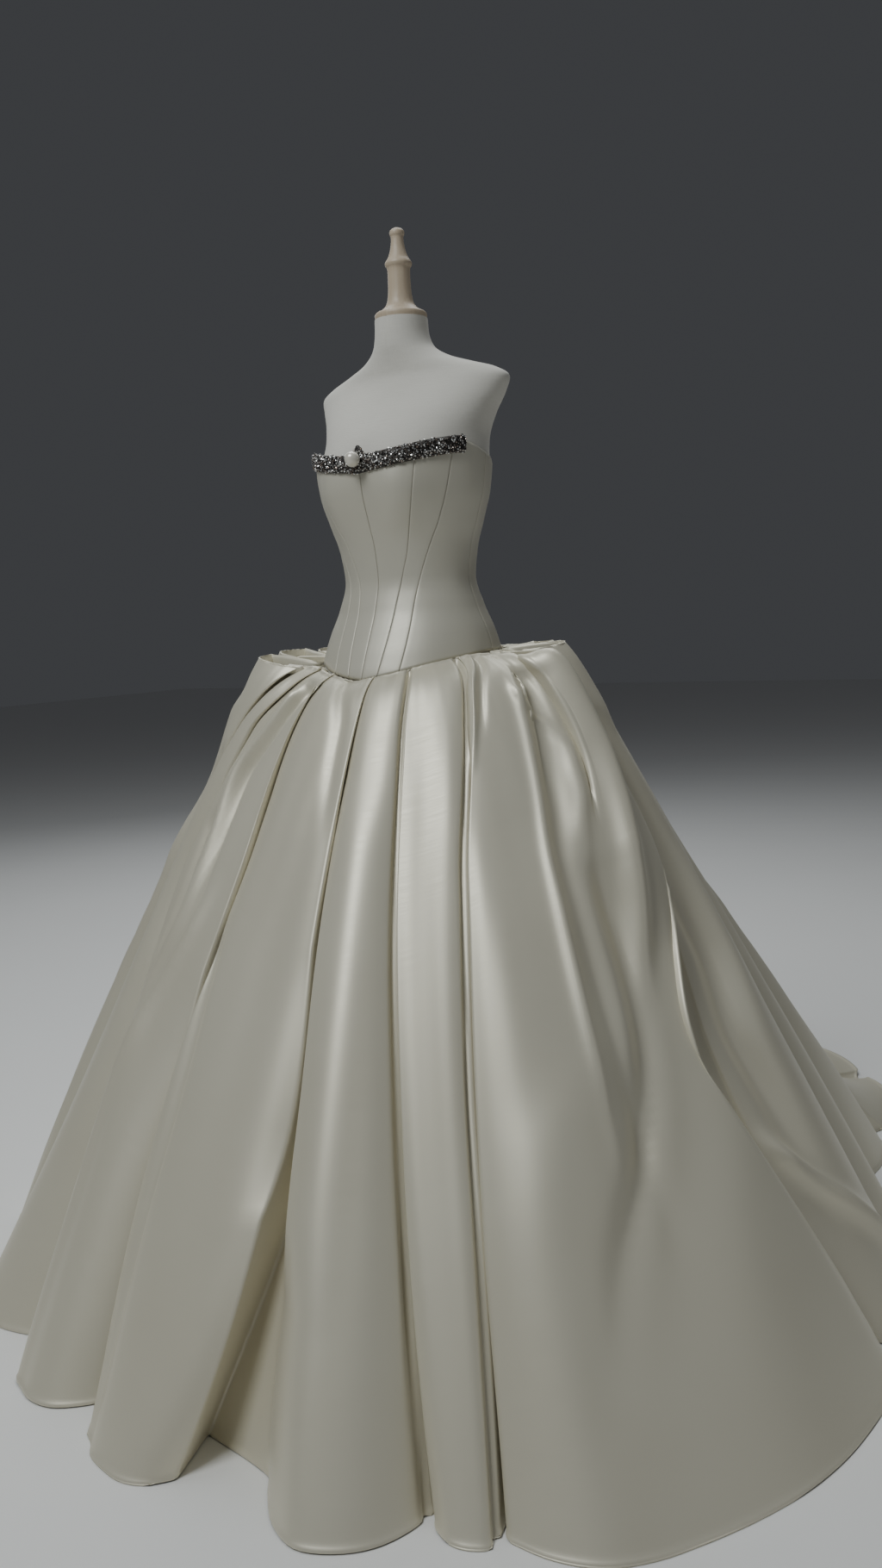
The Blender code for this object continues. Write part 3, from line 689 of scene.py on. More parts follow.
# fold lines: the angles run from the seam to the hem, and the tuck says how far the valley lies
# under the lobe on the wearer's left (+) or right (-); then the mouth at the hem, the depths at
# the knee and the hem, how flat the next lobe is on top, and how flat beside its lapped side
lineSteps = (0.0, 0.10, 0.30, 0.60, 1.0)
tuckSteps = (0.0, 0.25, 0.60, 1.0)
depthSteps = (0.0, 0.30, 1.0)
foldLines = (
    ("backRight3", (-166, -166, -167, -168, -168), (3, 3, 2, 0), 2, (0.060, 0.030), (2.6, 1.9)),
    ("backRight2", (-155, -155, -155, -153, -152), (3, 3, 2, 0), 3, (0.055, 0.042), (2.4, 1.6)),
    ("backRight1", (-141, -142, -143, -140, -138), (3, 3, 2, 0), 2, (0.064, 0.055), (2.6, 1.8)),
    ("sideBackRight", (-119, -123, -126, -124, -120), (4, 4, 3, 2), 3, (0.080, 0.105), (2.8, 1.6)),
    ("sideRight", (-96, -101, -105, -102, -97), (3, 3, 3, 3), 3, (0.085, 0.110), (2.5, 1.5)),
    ("hipRight", (-72, -78, -83, -79, -75), (3, 3, 3, 3), 3, (0.085, 0.115), (2.5, 1.5)),
    ("frontRight2", (-43, -51.5, -59, -55, -51), (-1, 1, 3, 3), 3, (0.060, 0.120), (2.2, 1.25)),
    ("frontRight1", (-35, -45, -46.7, -33.4, -25), (-3, 1, 3, 3), 3, (0.048, 0.120), (2.3, 1.6)),
    ("front1", (-20.5, -23.6, -18.6, -15, -8.4), (-3.5, -1.5, 1, 3), 2, (0.045, 0.115), (3.0, 2.2)),
    ("centre", (10.5, 9.8, 11, 13.5, 13), (-3.5, -1, 1, -7), 12, (0.045, 0.130), (3.4, 2.6)),
    ("front2", (32, 29, 27.7, 29, 31.6), (3, 3, 3, 3), 1, (0.042, 0.085), (3.4, 2.6)),
    ("frontLeft1", (58, 51, 42.5, 38.7, 37.3), (3, 3, 3, 3), 1, (0.045, 0.075), (3.6, 2.6)),
    ("frontLeft2", (74, 70, 61, 57, 59), (-2, -0.8, 0, 0), 3, (0.014, 0.004), (2.6, 2.2)),
    ("hipLeft0", (80, 82, 74, 72, 74), (3, 2, 0, 0), 3, (0.022, 0.004), (2.2, 2.0)),
    ("hipLeft", (94, 95, 93, 79.5, 85), (-3, -4, -3, -1), 3, (0.085, 0.070), (2.8, 1.25)),
    ("sideLeft", (116, 121, 121, 108, 106), (-3, -3, -3, -2), 3, (0.075, 0.080), (2.5, 1.5)),
    ("sideBackLeft", (131, 135, 136, 128, 123), (-4, -4, -3, -2), 3, (0.080, 0.100), (2.6, 1.6)),
    ("backLeft1", (144, 145, 146, 142, 139), (-3, -3, -2, 0), 3, (0.060, 0.060), (2.4, 1.7)),
    ("backLeft2", (156, 156, 157, 155, 154), (-3, -3, -2, 0), 2, (0.056, 0.036), (2.5, 1.9)),
    ("backLeft3", (168, 168, 168, 167, 166), (-3, -3, -2, 0), 2, (0.060, 0.032), (2.6, 1.6)),
    ("centreBack", (180, 180, 180, 180, 180), (0, 0, 0, 0), 2, (0.060, 0.030), (2.6, 2.0)),
)

# folds that run out on the way down: the step where that begins and over how many, how far the
# next lobe is sunk at the seam and where it has come up again, and how far the fold opens out
shortFolds = {
    "frontLeft2": {"start": 0.005, "steps": 0.065, "sink": 0.024, "sunk": 0.24, "soft": 1.0},
    "hipLeft0": {"start": 0.10, "steps": 0.16, "sink": 0.0, "sunk": 0.2, "soft": 0.0},
}
# folds that stand open on the way down: how wide in degrees, and between which steps
openFolds = {
    "hipLeft": {"wide": 8.0, "from": 0.10, "to": 0.90},
    "frontRight2": {"wide": 5.5, "from": 0.03, "to": 0.95},
    "hipRight": {"wide": 3.0, "from": 0.10, "to": 0.95},
    "sideLeft": {"wide": 2.5, "from": 0.15, "to": 0.85},
    "sideRight": {"wide": 2.0, "from": 0.15, "to": 0.85},
}
foldNames = [line[0] for line in foldLines]
folds = []
for name, angles, tucks, mouth, depths, (crownPower, fallPower) in foldLines:
    folds.append({
        "place": makeCurve(list(zip(lineSteps, angles))),
        "tuck": makeCurve(list(zip(tuckSteps, tucks))),
        "depth": makeCurve(list(zip(depthSteps, (
            spreadCurves["reach"](angles[0]) - skirt["bodyClearance"], *depths)))),
        "mouth": mouth,
        "crownPower": crownPower,
        "fallPower": fallPower,
        "short": shortFolds.get(name),
        "open": openFolds.get(name),
    })

# node, the fold lines whose valleys hide its seams, and the cut of the piece in metres
skirtPieces = (
    ("skirt_back_right", "centreBack", "sideBackRight", (1.35, 1.60), 1.14),
    ("skirt_side_right", "sideBackRight", "hipRight", (0.90, 1.15), 0.71),
    ("skirt_front_right", "hipRight", "frontRight1", (0.95, 1.12), 0.66),
    ("skirt_front", "frontRight1", "frontLeft1", (1.50, 1.15), 1.06),
    ("skirt_front_left", "frontLeft1", "hipLeft", (0.86, 1.20), 0.66),
    ("skirt_side_left", "hipLeft", "sideBackLeft", (0.68, 1.25), 0.65),
    ("skirt_back_left", "sideBackLeft", "centreBack", (1.28, 1.60), 1.08),
)


def foldPlace(index, step):
    turns, at = divmod(index, len(folds))
    return folds[at]["place"](step) + 360.0 * turns


def spreadAt(angle, name):
    return spreadCurves[name](wrapAngle(angle))


def trainShare(angle):
    return smoothStep((spreadAt(angle, "hem") - skirt["trainStart"]) / skirt["trainWidth"])


def standingShare(angle):
    out = spreadAt(angle, "reach") - foldForm["standingReach"]
    return smoothStep(out / foldForm["standingRange"])


# radius and height of the crests, from the waist seam to the hem
def envelope(angle, step):
    top = waistHeight(angle) - skirt["waistGap"]
    body = bodyRadius(angle, top)
    train = trainShare(angle)
    below = spreadAt(angle, "below")
    start = body + below
    run = step + skirt["trainFlare"] * train * (step * step - step)
    radius = start + (spreadAt(angle, "hem") - start) * run
    radius -= (below - spreadAt(angle, "reach")) * math.exp(-step / skirt["shelfStep"])
    height = top * (1.0 - step) ** (1.0 + skirt["trainSweep"] * train)
    return radius, height


# a point of the cloth: the shape is 0 on a crest and -1 at the bottom of a valley
def clothPoint(angle, shape, depth, step):
    radius, height = envelope(angle, step)
    lying = trainShare(angle) * smoothStep((step - skirt["lyingStart"]) / skirt["lyingSteps"])
    aheadRadius, aheadHeight = envelope(angle, min(step + skirt["slopeStep"], 1.0))
    backRadius, backHeight = envelope(angle, max(step - skirt["slopeStep"], 0.0))
    run = aheadRadius - backRadius
    fall = backHeight - aheadHeight
    slope = math.hypot(run, fall)
    outward = (1.0 - lying) + lying * fall / slope
    upward = lying * run / slope
    length = math.hypot(outward, upward)
    settled = lying * smoothStep((step - skirt["restStart"]) / (1.0 - skirt["restStart"]))
    move = depth * (shape + lying) * (1.0 - skirt["rest"] * settled)
    radius += skirt["hemBulge"] * settled * (1.0 + shape)
    radius += move * outward / length
    height += move * upward / length
    height += spreadAt(angle, "rise") * (1.0 + shape) * math.exp(-step / skirt["shelfStep"])
    height += skirt["wall"] * lying * step
    body = bodyRadius(angle, max(height, waistLow)) + skirt["bodyClearance"]
    return (*atAngle(angle, max(radius, body), height), angle, shape)


# 1 where a fold is whole, and 0 where a short one has run out
def fadeShare(fold, step):
    short = fold["short"]
    return 1.0 - smoothStep((step - short["start"]) / short["steps"]) if short else 1.0


# the six places across a fold line: angle and shape
def foldPoints(index, step):
    fold = folds[index % len(folds)]
    short = fold["short"]
    opened = fold["open"]
    angle = foldPlace(index, step)
    leftWidth = angle - foldPlace(index - 1, step)
    rightWidth = foldPlace(index + 1, step) - angle
    fade = fadeShare(fold, step)
    tuck = fold["tuck"](step) * fade
    underLeft = clamp(tuck / foldForm["lappedTuck"])
    underRight = clamp(-tuck / foldForm["lappedTuck"])
    lapped = max(underLeft, underRight)
    radius = envelope(angle, step)[0]
    gap = foldForm["mouth"] * (1.0 - lapped) + foldForm["lappedMouth"] * lapped
    mouth = math.degrees(gap / radius) + fold["mouth"] * step ** foldForm["mouthPower"]
    if short:
        mouth += short["soft"] * smoothStep(step / foldForm["softStep"])
    if opened and opened["from"] < step < opened["to"]:
        along = (step - opened["from"]) / (opened["to"] - opened["from"])
        mouth += opened["wide"] * math.sin(math.pi * along) ** 2
    left = angle - 0.5 * mouth
    right = angle + 0.5 * mouth
    neck = foldForm["neckShare"] * bell(step / foldForm["neckStep"])
    leftNeck = neck * leftWidth * standingShare(angle - 0.5 * leftWidth)
    rightNeck = neck * rightWidth * standingShare(angle + 0.5 * rightWidth)
    if short:
        rightNeck *= foldForm["shortNeck"]
    flat = 0.5 * math.degrees(foldForm["valleyWidth"] / (radius - fold["depth"](step)))
    edge = foldForm["edgeShape"] + foldForm["hemRounding"] * step * step
    rightEdge = edge + foldForm["underEdge"] * underRight
    leftDown = (edge + foldForm["underEdge"] * underLeft) * fade
    rightDown = max(rightEdge, foldForm["deepestEdge"]) * fade
    leftEnd = left + foldForm["edgeDraw"] * max(tuck, 0.0)
    rightEnd = right - foldForm["edgeDraw"] * max(-tuck, 0.0)
    roll = foldForm["roll"] + foldForm["rollGrowth"] * step
    drop = roll / fold["depth"](step) * fade
    turn = math.degrees(foldForm["rollDraw"] * roll / radius)
    deepest = foldForm["deepestRoll"] * fade
    places = [
        (leftEnd, leftDown),
        (leftEnd + turn * (1.0 - underRight), max(leftDown - drop, deepest)),
        (angle + tuck - leftNeck - flat, -fade),
        (angle + tuck + rightNeck + flat, -fade),
        (rightEnd - turn * (1.0 - underLeft), max(rightDown - drop, deepest)),
        (rightEnd, rightDown),
    ]
    if fade < 1.0:                            # where a short fold runs out, it opens flat
        spread = math.degrees(foldForm["runOut"] / radius)
        places = [(fade * place + (1.0 - fade) * (angle + spread * share), shape)
                  for (place, shape), share in zip(places, foldForm["runOutShares"])]
    return places


# all the places round the skirt at one step, from the valley of one fold to that of another
def ringPlaces(firstIndex, lastIndex, step):
    points = []
    count = foldForm["crown"]
    for index in range(firstIndex, lastIndex + 1):
        fold = folds[index % len(folds)]
        depth = fold["depth"](step)
        places = foldPoints(index, step)
        for angle, shape in places:
            points.append(clothPoint(angle, shape, depth, step))
        if index == lastIndex:
            break
        following = folds[(index + 1) % len(folds)]
        begin, leftDown = places[-1]
        end, rightDown = foldPoints(index + 1, step)[0]
        leftShare = clamp(-fold["tuck"](step) / foldForm["lappedTuck"])
        rightShare = clamp(following["tuck"](step) / foldForm["lappedTuck"])
        crown = fold["crownPower"]
        leftPower = crown + (min(fold["fallPower"], crown) - crown) * leftShare
        rightPower = crown + (min(following["fallPower"], crown) - crown) * rightShare
        for n in range(1, count + 1):
            share = 0.5 - 0.5 * math.cos(math.pi * n / (count + 1))
            shape = leftDown * max(0.0, 1.0 - 2.0 * share) ** leftPower
            shape += rightDown * max(0.0, 2.0 * share - 1.0) ** rightPower
            between = depth + (following["depth"](step) - depth) * share
            if fold["short"]:
                sunk = 1.0 - smoothStep(step / fold["short"]["sunk"])
                shape -= fold["short"]["sink"] * sunk * math.sin(math.pi * share) / between
            points.append(clothPoint(begin + (end - begin) * share, shape, between, step))
    return points


# the cloth turned in above the first row: in to the seam, or into the mouth of a tall pleat
turnIn = {
    "rows": 6,
    "seamDrop": 0.004,
    "seamRadius": 0.0006,
    "rise": 0.22,             # how much the turned cloth stands up on its way out
    "mouthIn": 0.004,
    "mouthDrop": 0.014,
    "closedReach": 0.022,     # pleats that stand out less than this are closed to the seam
    "openReach": 0.050,
}


def turnedRows(firstRow):
    rows = []
    targets = []
    rises = []
    for x, y, z, angle, _ in firstRow:
        out = math.hypot(x, y)
        closed = 1.0 - smoothStep((spreadAt(angle, "reach") - turnIn["closedReach"])
                                  / (turnIn["openReach"] - turnIn["closedReach"]))
        body = bodyRadius(angle, waistHeight(angle)) + turnIn["seamRadius"]
        radius = closed * body + (1.0 - closed) * max(out - turnIn["mouthIn"], body)
        height = z - closed * turnIn["seamDrop"] - (1.0 - closed) * turnIn["mouthDrop"]
        targets.append((x * radius / out, y * radius / out, height))
        rises.append(turnIn["rise"] * closed * (out - body))
    first = np.array([point[:3] for point in firstRow])
    targets = np.array(targets)
    rises = np.array(rises)
    extra = np.array([point[3:] for point in firstRow])
    for k in range(turnIn["rows"]):
        u = k / turnIn["rows"]
        place = targets + (first - targets) * math.sin(0.5 * math.pi * u)
        place[:, 2] += rises * math.sin(math.pi * u)
        rows.append(np.concatenate([place, extra], axis=1))
    return rows


# long soft ripples in the cloth, small puckers under the seam, and the turned hem
ripples = {
    "long": 0.0022,
    "longAcross": 0.14,       # ripples in a degree
    "longAlong": 2.2,
    "longStart": 0.25,
    "longSeed": 1.7,
    "pucker": 0.0009,
    "puckerAcross": 0.55,
    "puckerAlong": 9.0,
    "puckerStep": 0.05,
    "puckerSeed": 5.3,
    "hemRim": 0.0013,
    "hemReach": 0.004,
}


# single creases: the height (a groove is below 0) and the half width in metres, over how
# many steps it comes, the step where it is gone, and (step, angle) along it
creases = (
    # soft groove beside the fold frontRight1
    (-0.015, 0.013, 0.02, 0.46,
     ((0.015, -27), (0.045, -30), (0.09, -34), (0.16, -38), (0.25, -35), (0.40, -30))),
    # and the ridge beside it
    (0.007, 0.009, 0.03, 0.5,
     ((0.03, -33), (0.09, -38), (0.16, -42.5), (0.25, -39.5), (0.40, -34.5))),
    # short groove further down
    (-0.008, 0.01, 0.06, 0.56, ((0.24, -43), (0.34, -40), (0.44, -37), (0.52, -35))),
    (-0.008, 0.013, 0.2, 1.4, ((0.40, -16), (0.60, -11), (0.80, -8), (1.0, -4.4))),
    (0.01, 0.016, 0.2, 1.4, ((0.35, -26), (0.60, -29), (0.80, -24), (1.0, -20))),
    (0.008, 0.016, 0.1, 1.4, ((0.06, -62), (0.20, -69), (0.50, -68), (1.0, -62))),
    (0.02, 0.024, 0.3, 1.8, ((0.28, -66.5), (0.50, -66.5), (1.0, -60))),
    (-0.022, 0.012, 0.16, 1.8,
     ((0.16, -57.5), (0.25, -59.5), (0.50, -59), (0.75, -55.5), (1.0, -53))),
    # beside the centre fold
    (-0.006, 0.012, 0.02, 0.26, ((0.0, -6), (0.065, 2), (0.14, 4.5), (0.22, 7))),
    # narrow rolled strip beside the fold frontLeft1
    (0.007, 0.0045, 0.002, 0.17, ((0.0, 62.5), (0.04, 56.3), (0.09, 52.8), (0.17, 48.0))),
    # tight lines beside two folds
    (-0.009, 0.0032, 0.002, 2,
     ((0.0, 30.6), (0.1, 28.1), (0.3, 27.1), (0.6, 28.6), (1.0, 31.35))),
    (-0.009, 0.0032, 0.002, 2,
     ((0.0, 56.6), (0.1, 50.1), (0.3, 41.9), (0.6, 38.3), (1.0, 37.05))),
    # rim that runs on below the fold frontLeft2
    (0.009, 0.011, 0.04, 0.72,
     ((0.03, 71.5), (0.10, 68.6), (0.20, 64.0), (0.30, 59.7), (0.45, 56.7), (0.60, 55))),
    # and the hollow behind it
    (-0.014, 0.022, 0.04, 0.8,
     ((0.03, 75.5), (0.10, 73), (0.20, 68.3), (0.30, 63.6), (0.45, 61), (0.60, 59.5))),
    (-0.0045, 0.005, 0.002, 0.12, ((0.0, 66.0), (0.04, 59.6), (0.09, 55.4), (0.17, 50.5))),
    # ridge of the hip pleat
    (0.022, 0.021, 0.06, 0.56,
     ((0.0, 86), (0.04, 87), (0.14, 86.5), (0.21, 84), (0.31, 79), (0.38, 76), (0.50, 69))),
    # pinched creases on it
    (0.006, 0.007, 0.05, 0.16, ((0.05, 69.0), (0.08, 72), (0.11, 76), (0.145, 79))),
    (0.006, 0.012, 0.13, 0.34, ((0.14, 79), (0.17, 77), (0.21, 75), (0.26, 71), (0.34, 68))),
    # broad swell
    (0.008, 0.06, 0.3, 0.95, ((0.30, 60), (0.51, 57), (0.62, 48.5), (0.74, 43), (0.9, 41))),
    # broad hollow
    (-0.02, 0.085, 0.36, 1.1,
     ((0.36, 75), (0.53, 71), (0.64, 65), (0.76, 58), (0.88, 54), (1.0, 53))),
    (-0.018, 0.028, 0.25, 0.98,
     ((0.31, 71), (0.42, 70), (0.57, 64), (0.66, 58), (0.75, 52), (0.90, 47))),
    (0.008, 0.045, 0.45, 1.1, ((0.45, -38), (0.60, -27), (0.80, -20), (1.0, -17))),
    (-0.006, 0.05, 0.35, 1.1, ((0.30, 0), (0.60, 2), (1.0, 3))),
    (0.006, 0.03, 0.25, 1.1, ((0.20, 18), (0.50, 19), (0.80, 20), (1.0, 21))),
    # slanting ridge low down
    (0.022, 0.02, 0.1, 1.25, ((0.72, 83), (0.80, 89), (0.90, 96), (1.0, 102))),
    # hollow behind the open fold
    (-0.028, 0.03, 0.1, 0.95, ((0.12, 98), (0.30, 99.5), (0.45, 94.5), (0.60, 88), (0.75, 88))),
    # faint creases round the sides and the back
    (0.006, 0.05, 0.25, 1.1, ((0.25, -66), (0.60, -64), (1.0, -62))),
    (-0.006, 0.04, 0.15, 1.1, ((0.10, -88), (0.50, -92), (1.0, -86))),
    (0.007, 0.045, 0.2, 1.1, ((0.15, -112), (0.55, -114), (1.0, -110))),
    (-0.007, 0.04, 0.15, 1.1, ((0.12, 109), (0.5, 110), (1.0, 97))),
    (0.006, 0.04, 0.2, 1.1, ((0.15, 128), (0.55, 124), (1.0, 114))),
    (-0.007, 0.05, 0.2, 1.1, ((0.2, -132), (0.6, -134), (1.0, -129))),
    (0.006, 0.045, 0.2, 1.1, ((0.2, 150), (0.6, 150), (1.0, 147))),
    (-0.005, 0.04, 0.2, 1.1, ((0.2, 173), (0.6, 173), (1.0, 172))),
    (0.006, 0.04, 0.2, 1.1, ((0.2, -173), (0.6, -173), (1.0, -174))),
)
creaseForm = {
    "lead": 0.06,             # steps before its path within which a crease can begin
    "reach": 3.0,             # half widths past which it is nothing
    "comeBefore": 0.25,
    "comeOver": 0.5,
    "comeLeast": 0.002,
    "goneOver": 0.45,
    "crestShare": 1.6,        # it keeps to the crests and the upper sides of the folds
}
creaseCurves = [(height, width, come, gone, path[0][0], makeCurve(path))
                for height, width, come, gone, path in creases]


def creaseMove(angle, radius, step):
    move = 0.0
    for height, width, come, gone, start, curve in creaseCurves:
        if step < start - creaseForm["lead"] or step > gone:
            continue
        off = math.radians(wrapAngle(angle - curve(step))) * radius / width
        if abs(off) > creaseForm["reach"]:
            continue
        begun = smoothStep((step - start + come * creaseForm["comeBefore"])
                           / max(come * creaseForm["comeOver"], creaseForm["comeLeast"]))
        left = smoothStep((gone - step) / (creaseForm["goneOver"] * gone))
        move += height * begun * left * bell(off)
    return move


def rippleMove(angle, shape, step):
    crest = clamp(1.0 + shape)
    long = waver(angle * ripples["longAcross"], step * ripples["longAlong"],
                 ripples["longSeed"])
    fine = waver(angle * ripples["puckerAcross"], step * ripples["puckerAlong"],
                 ripples["puckerSeed"])
    back = (1.0 - step) * skirt["fall"] - ripples["hemReach"]
    return (ripples["long"] * long * smoothStep(step / ripples["longStart"]) * crest
            + ripples["pucker"] * fine * math.exp(-step / ripples["puckerStep"]) * crest
            + ripples["hemRim"] * bell(back / ripples["hemReach"]))


# how far the ripples and creases move one point of the cloth along its normal
def clothMove(point, step):
    x, y, _, angle, shape = point
    crest = clamp(creaseForm["crestShare"] * (1.0 + shape))
    return rippleMove(angle, shape, step) + creaseMove(angle, math.hypot(x, y), step) * crest


rowSteps = [(i / skirt["rows"]) ** skirt["rowPower"] for i in range(skirt["rows"])]
rowSteps += [1.0 - back / skirt["fall"] for back in skirt["hemRows"]]
for node, first, last, flat, area in skirtPieces:
    start = foldNames.index(first)
    stop = foldNames.index(last)
    if stop <= start:
        stop += len(folds)
    rows = [np.array(ringPlaces(start, stop, step)) for step in rowSteps]
    control = np.array(turnedRows(rows[0]) + rows)
    foldSpans = list(foldForm["foldSpans"])
    crownSpans = [foldForm["crownSpan"]] * (foldForm["crown"] + 1)
    spans = (foldSpans + crownSpans) * (stop - start) + foldSpans
    dense = splineAcross(control, spans)
    head = sum(foldSpans[:2])                 # the seam lies at the bottom of a fold
    tail = sum(spans) - sum(foldSpans[2:])
    dense = dense[:, head:tail + 1]
    grid = dense[..., :3].copy()
    normals = gridNormals(grid)
    steps = [0.0] * turnIn["rows"] + rowSteps
    moves = np.array([[clothMove(point, step) for point in row]
                      for row, step in zip(dense, steps)])
    grid += normals * moves[..., None]
    for column, way in ((0, 1.0), (-1, -1.0)):
        angles = np.radians(dense[:, column, 3])
        along = np.stack([np.cos(angles), np.sin(angles), np.zeros(len(angles))], axis=1)
        grid[:, column] = dense[:, column, :3] + along * way * 0.5 * skirt["seamGap"]
    grid[..., 2] = np.maximum(grid[..., 2], skirt["wall"])
    piece = gridSheet(f"{node}_satin", grid, skirtSatin)
    addWall(piece, skirt["wall"])
    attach(piece, "root")
    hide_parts(node)
print("skirt made:", len(skirtPieces), "pieces")


# neckline band: a raised strip of net, set close with stones

band = {
    "end": 72.0,
    "columns": 120,
    "above": 0.008,
    "below": 0.0180,
    "standOff": 0.0008,
    "thick": 0.0058,
    "edgeThick": 0.0022,
    "edgeShare": 0.6,
    "stoneSunk": 0.55,        # the net is thinner by this share of a stone's radius
    # places round the strip: shares of the thin edge and of the full face, and how far up
    "profile": (
        (0.0, 0.0, 0.0), (0.0, 0.0, 0.5), (0.0, 0.0, 1.0), (0.6, 0.0, 1.0), (1.0, 0.0, 0.98),
        (0.38, 0.62, 0.90), (0.0, 0.93, 0.82), (0.0, 1.0, 0.72), (0.0, 1.0, 0.60),
        (0.0, 1.0, 0.50), (0.0, 1.0, 0.40), (0.0, 1.0, 0.28), (0.0, 0.93, 0.18),
        (0.38, 0.62, 0.10), (1.0, 0.0, 0.02), (0.6, 0.0, 0.0)),
    "backFaces": 2,           # the first faces round it, and the last, carry no stones
    "peakHeight": 0.017,
    "peakSpread": 4.2,
    "peakSeat": 0.55,
    "sharp": 50.0,
}
# a cut stone has a six sided girdle of radius 1, a flat table above it and a point below
stoneForm = {
    "sides": 6,
    "table": 0.52,
    "tableHeight": 0.55,
    "point": -0.85,
    "tilt": (0.85, 0.85, 3.1),    # radians, both ways
    "sizes": (0.72, 1.15),
    "tintSeed": 11,
    "set": {"Pitch": 0.0027, "Density": 260000.0, "Radius": 0.0019, "Lift": 0.0004, "Seed": 7},
}


def bandRing(angle):
    edge = neckHeight(angle)
    nearPearl = bell(angle / band["peakSpread"])
    low = edge - band["below"]
    high = edge + band["above"] + band["peakHeight"] * nearPearl
    swell = 1.0 - (1.0 - band["peakSeat"]) * nearPearl
    full = band["edgeThick"] + (band["thick"] - band["edgeThick"]) * swell
    full -= stoneForm["set"]["Radius"] * band["stoneSunk"]
    thin = band["edgeThick"] * band["edgeShare"]
    ring = []
    for thinShare, fullShare, up in band["profile"]:
        height = low + (high - low) * up
        wall = bodyRadius(angle, min(height, edge)) + band["standOff"]
        ring.append(atAngle(angle, wall + thin * thinShare + full * fullShare, height))
    return ring


def addBand():
    shape = bmesh.new()
    facing = shape.faces.layers.float.new("facing")
    rings = []
    for j in range(band["columns"] + 1):
        angle = band["end"] * (2.0 * j / band["columns"] - 1.0)
        rings.append([shape.verts.new(point) for point in bandRing(angle)])
    count = len(rings[0])
    back = band["backFaces"]
    for n, face in enumerate(joinRings(shape, rings)):
        face[facing] = float(back <= n % count <= count - back)
    for ring in (rings[0], rings[-1]):
        shape.faces.new(ring)[facing] = 1.0
    bmesh.ops.recalc_face_normals(shape, faces=shape.faces)
    return shapeObject("neckline_band_net", shape, bandNetAndGapShade, band["sharp"])


def addStone():
    shape = bmesh.new()
    sides = stoneForm["sides"]
    turns = [2.0 * math.pi * k / sides for k in range(sides)]
    girdle = [shape.verts.new((math.cos(a), math.sin(a), 0.0)) for a in turns]
    table = [shape.verts.new((stoneForm["table"] * math.cos(a + math.pi / sides),
                              stoneForm["table"] * math.sin(a + math.pi / sides),
                              stoneForm["tableHeight"])) for a in turns]
    point = shape.verts.new((0.0, 0.0, stoneForm["point"]))
    for k in range(sides):
        n = (k + 1) % sides
        shape.faces.new((girdle[k], girdle[n], table[k]))
        shape.faces.new((girdle[n], table[n], table[k]))
        shape.faces.new((girdle[n], girdle[k], point))
    shape.faces.new(table)
    bmesh.ops.recalc_face_normals(shape, faces=shape.faces)
    return shapeObject("stone", shape)


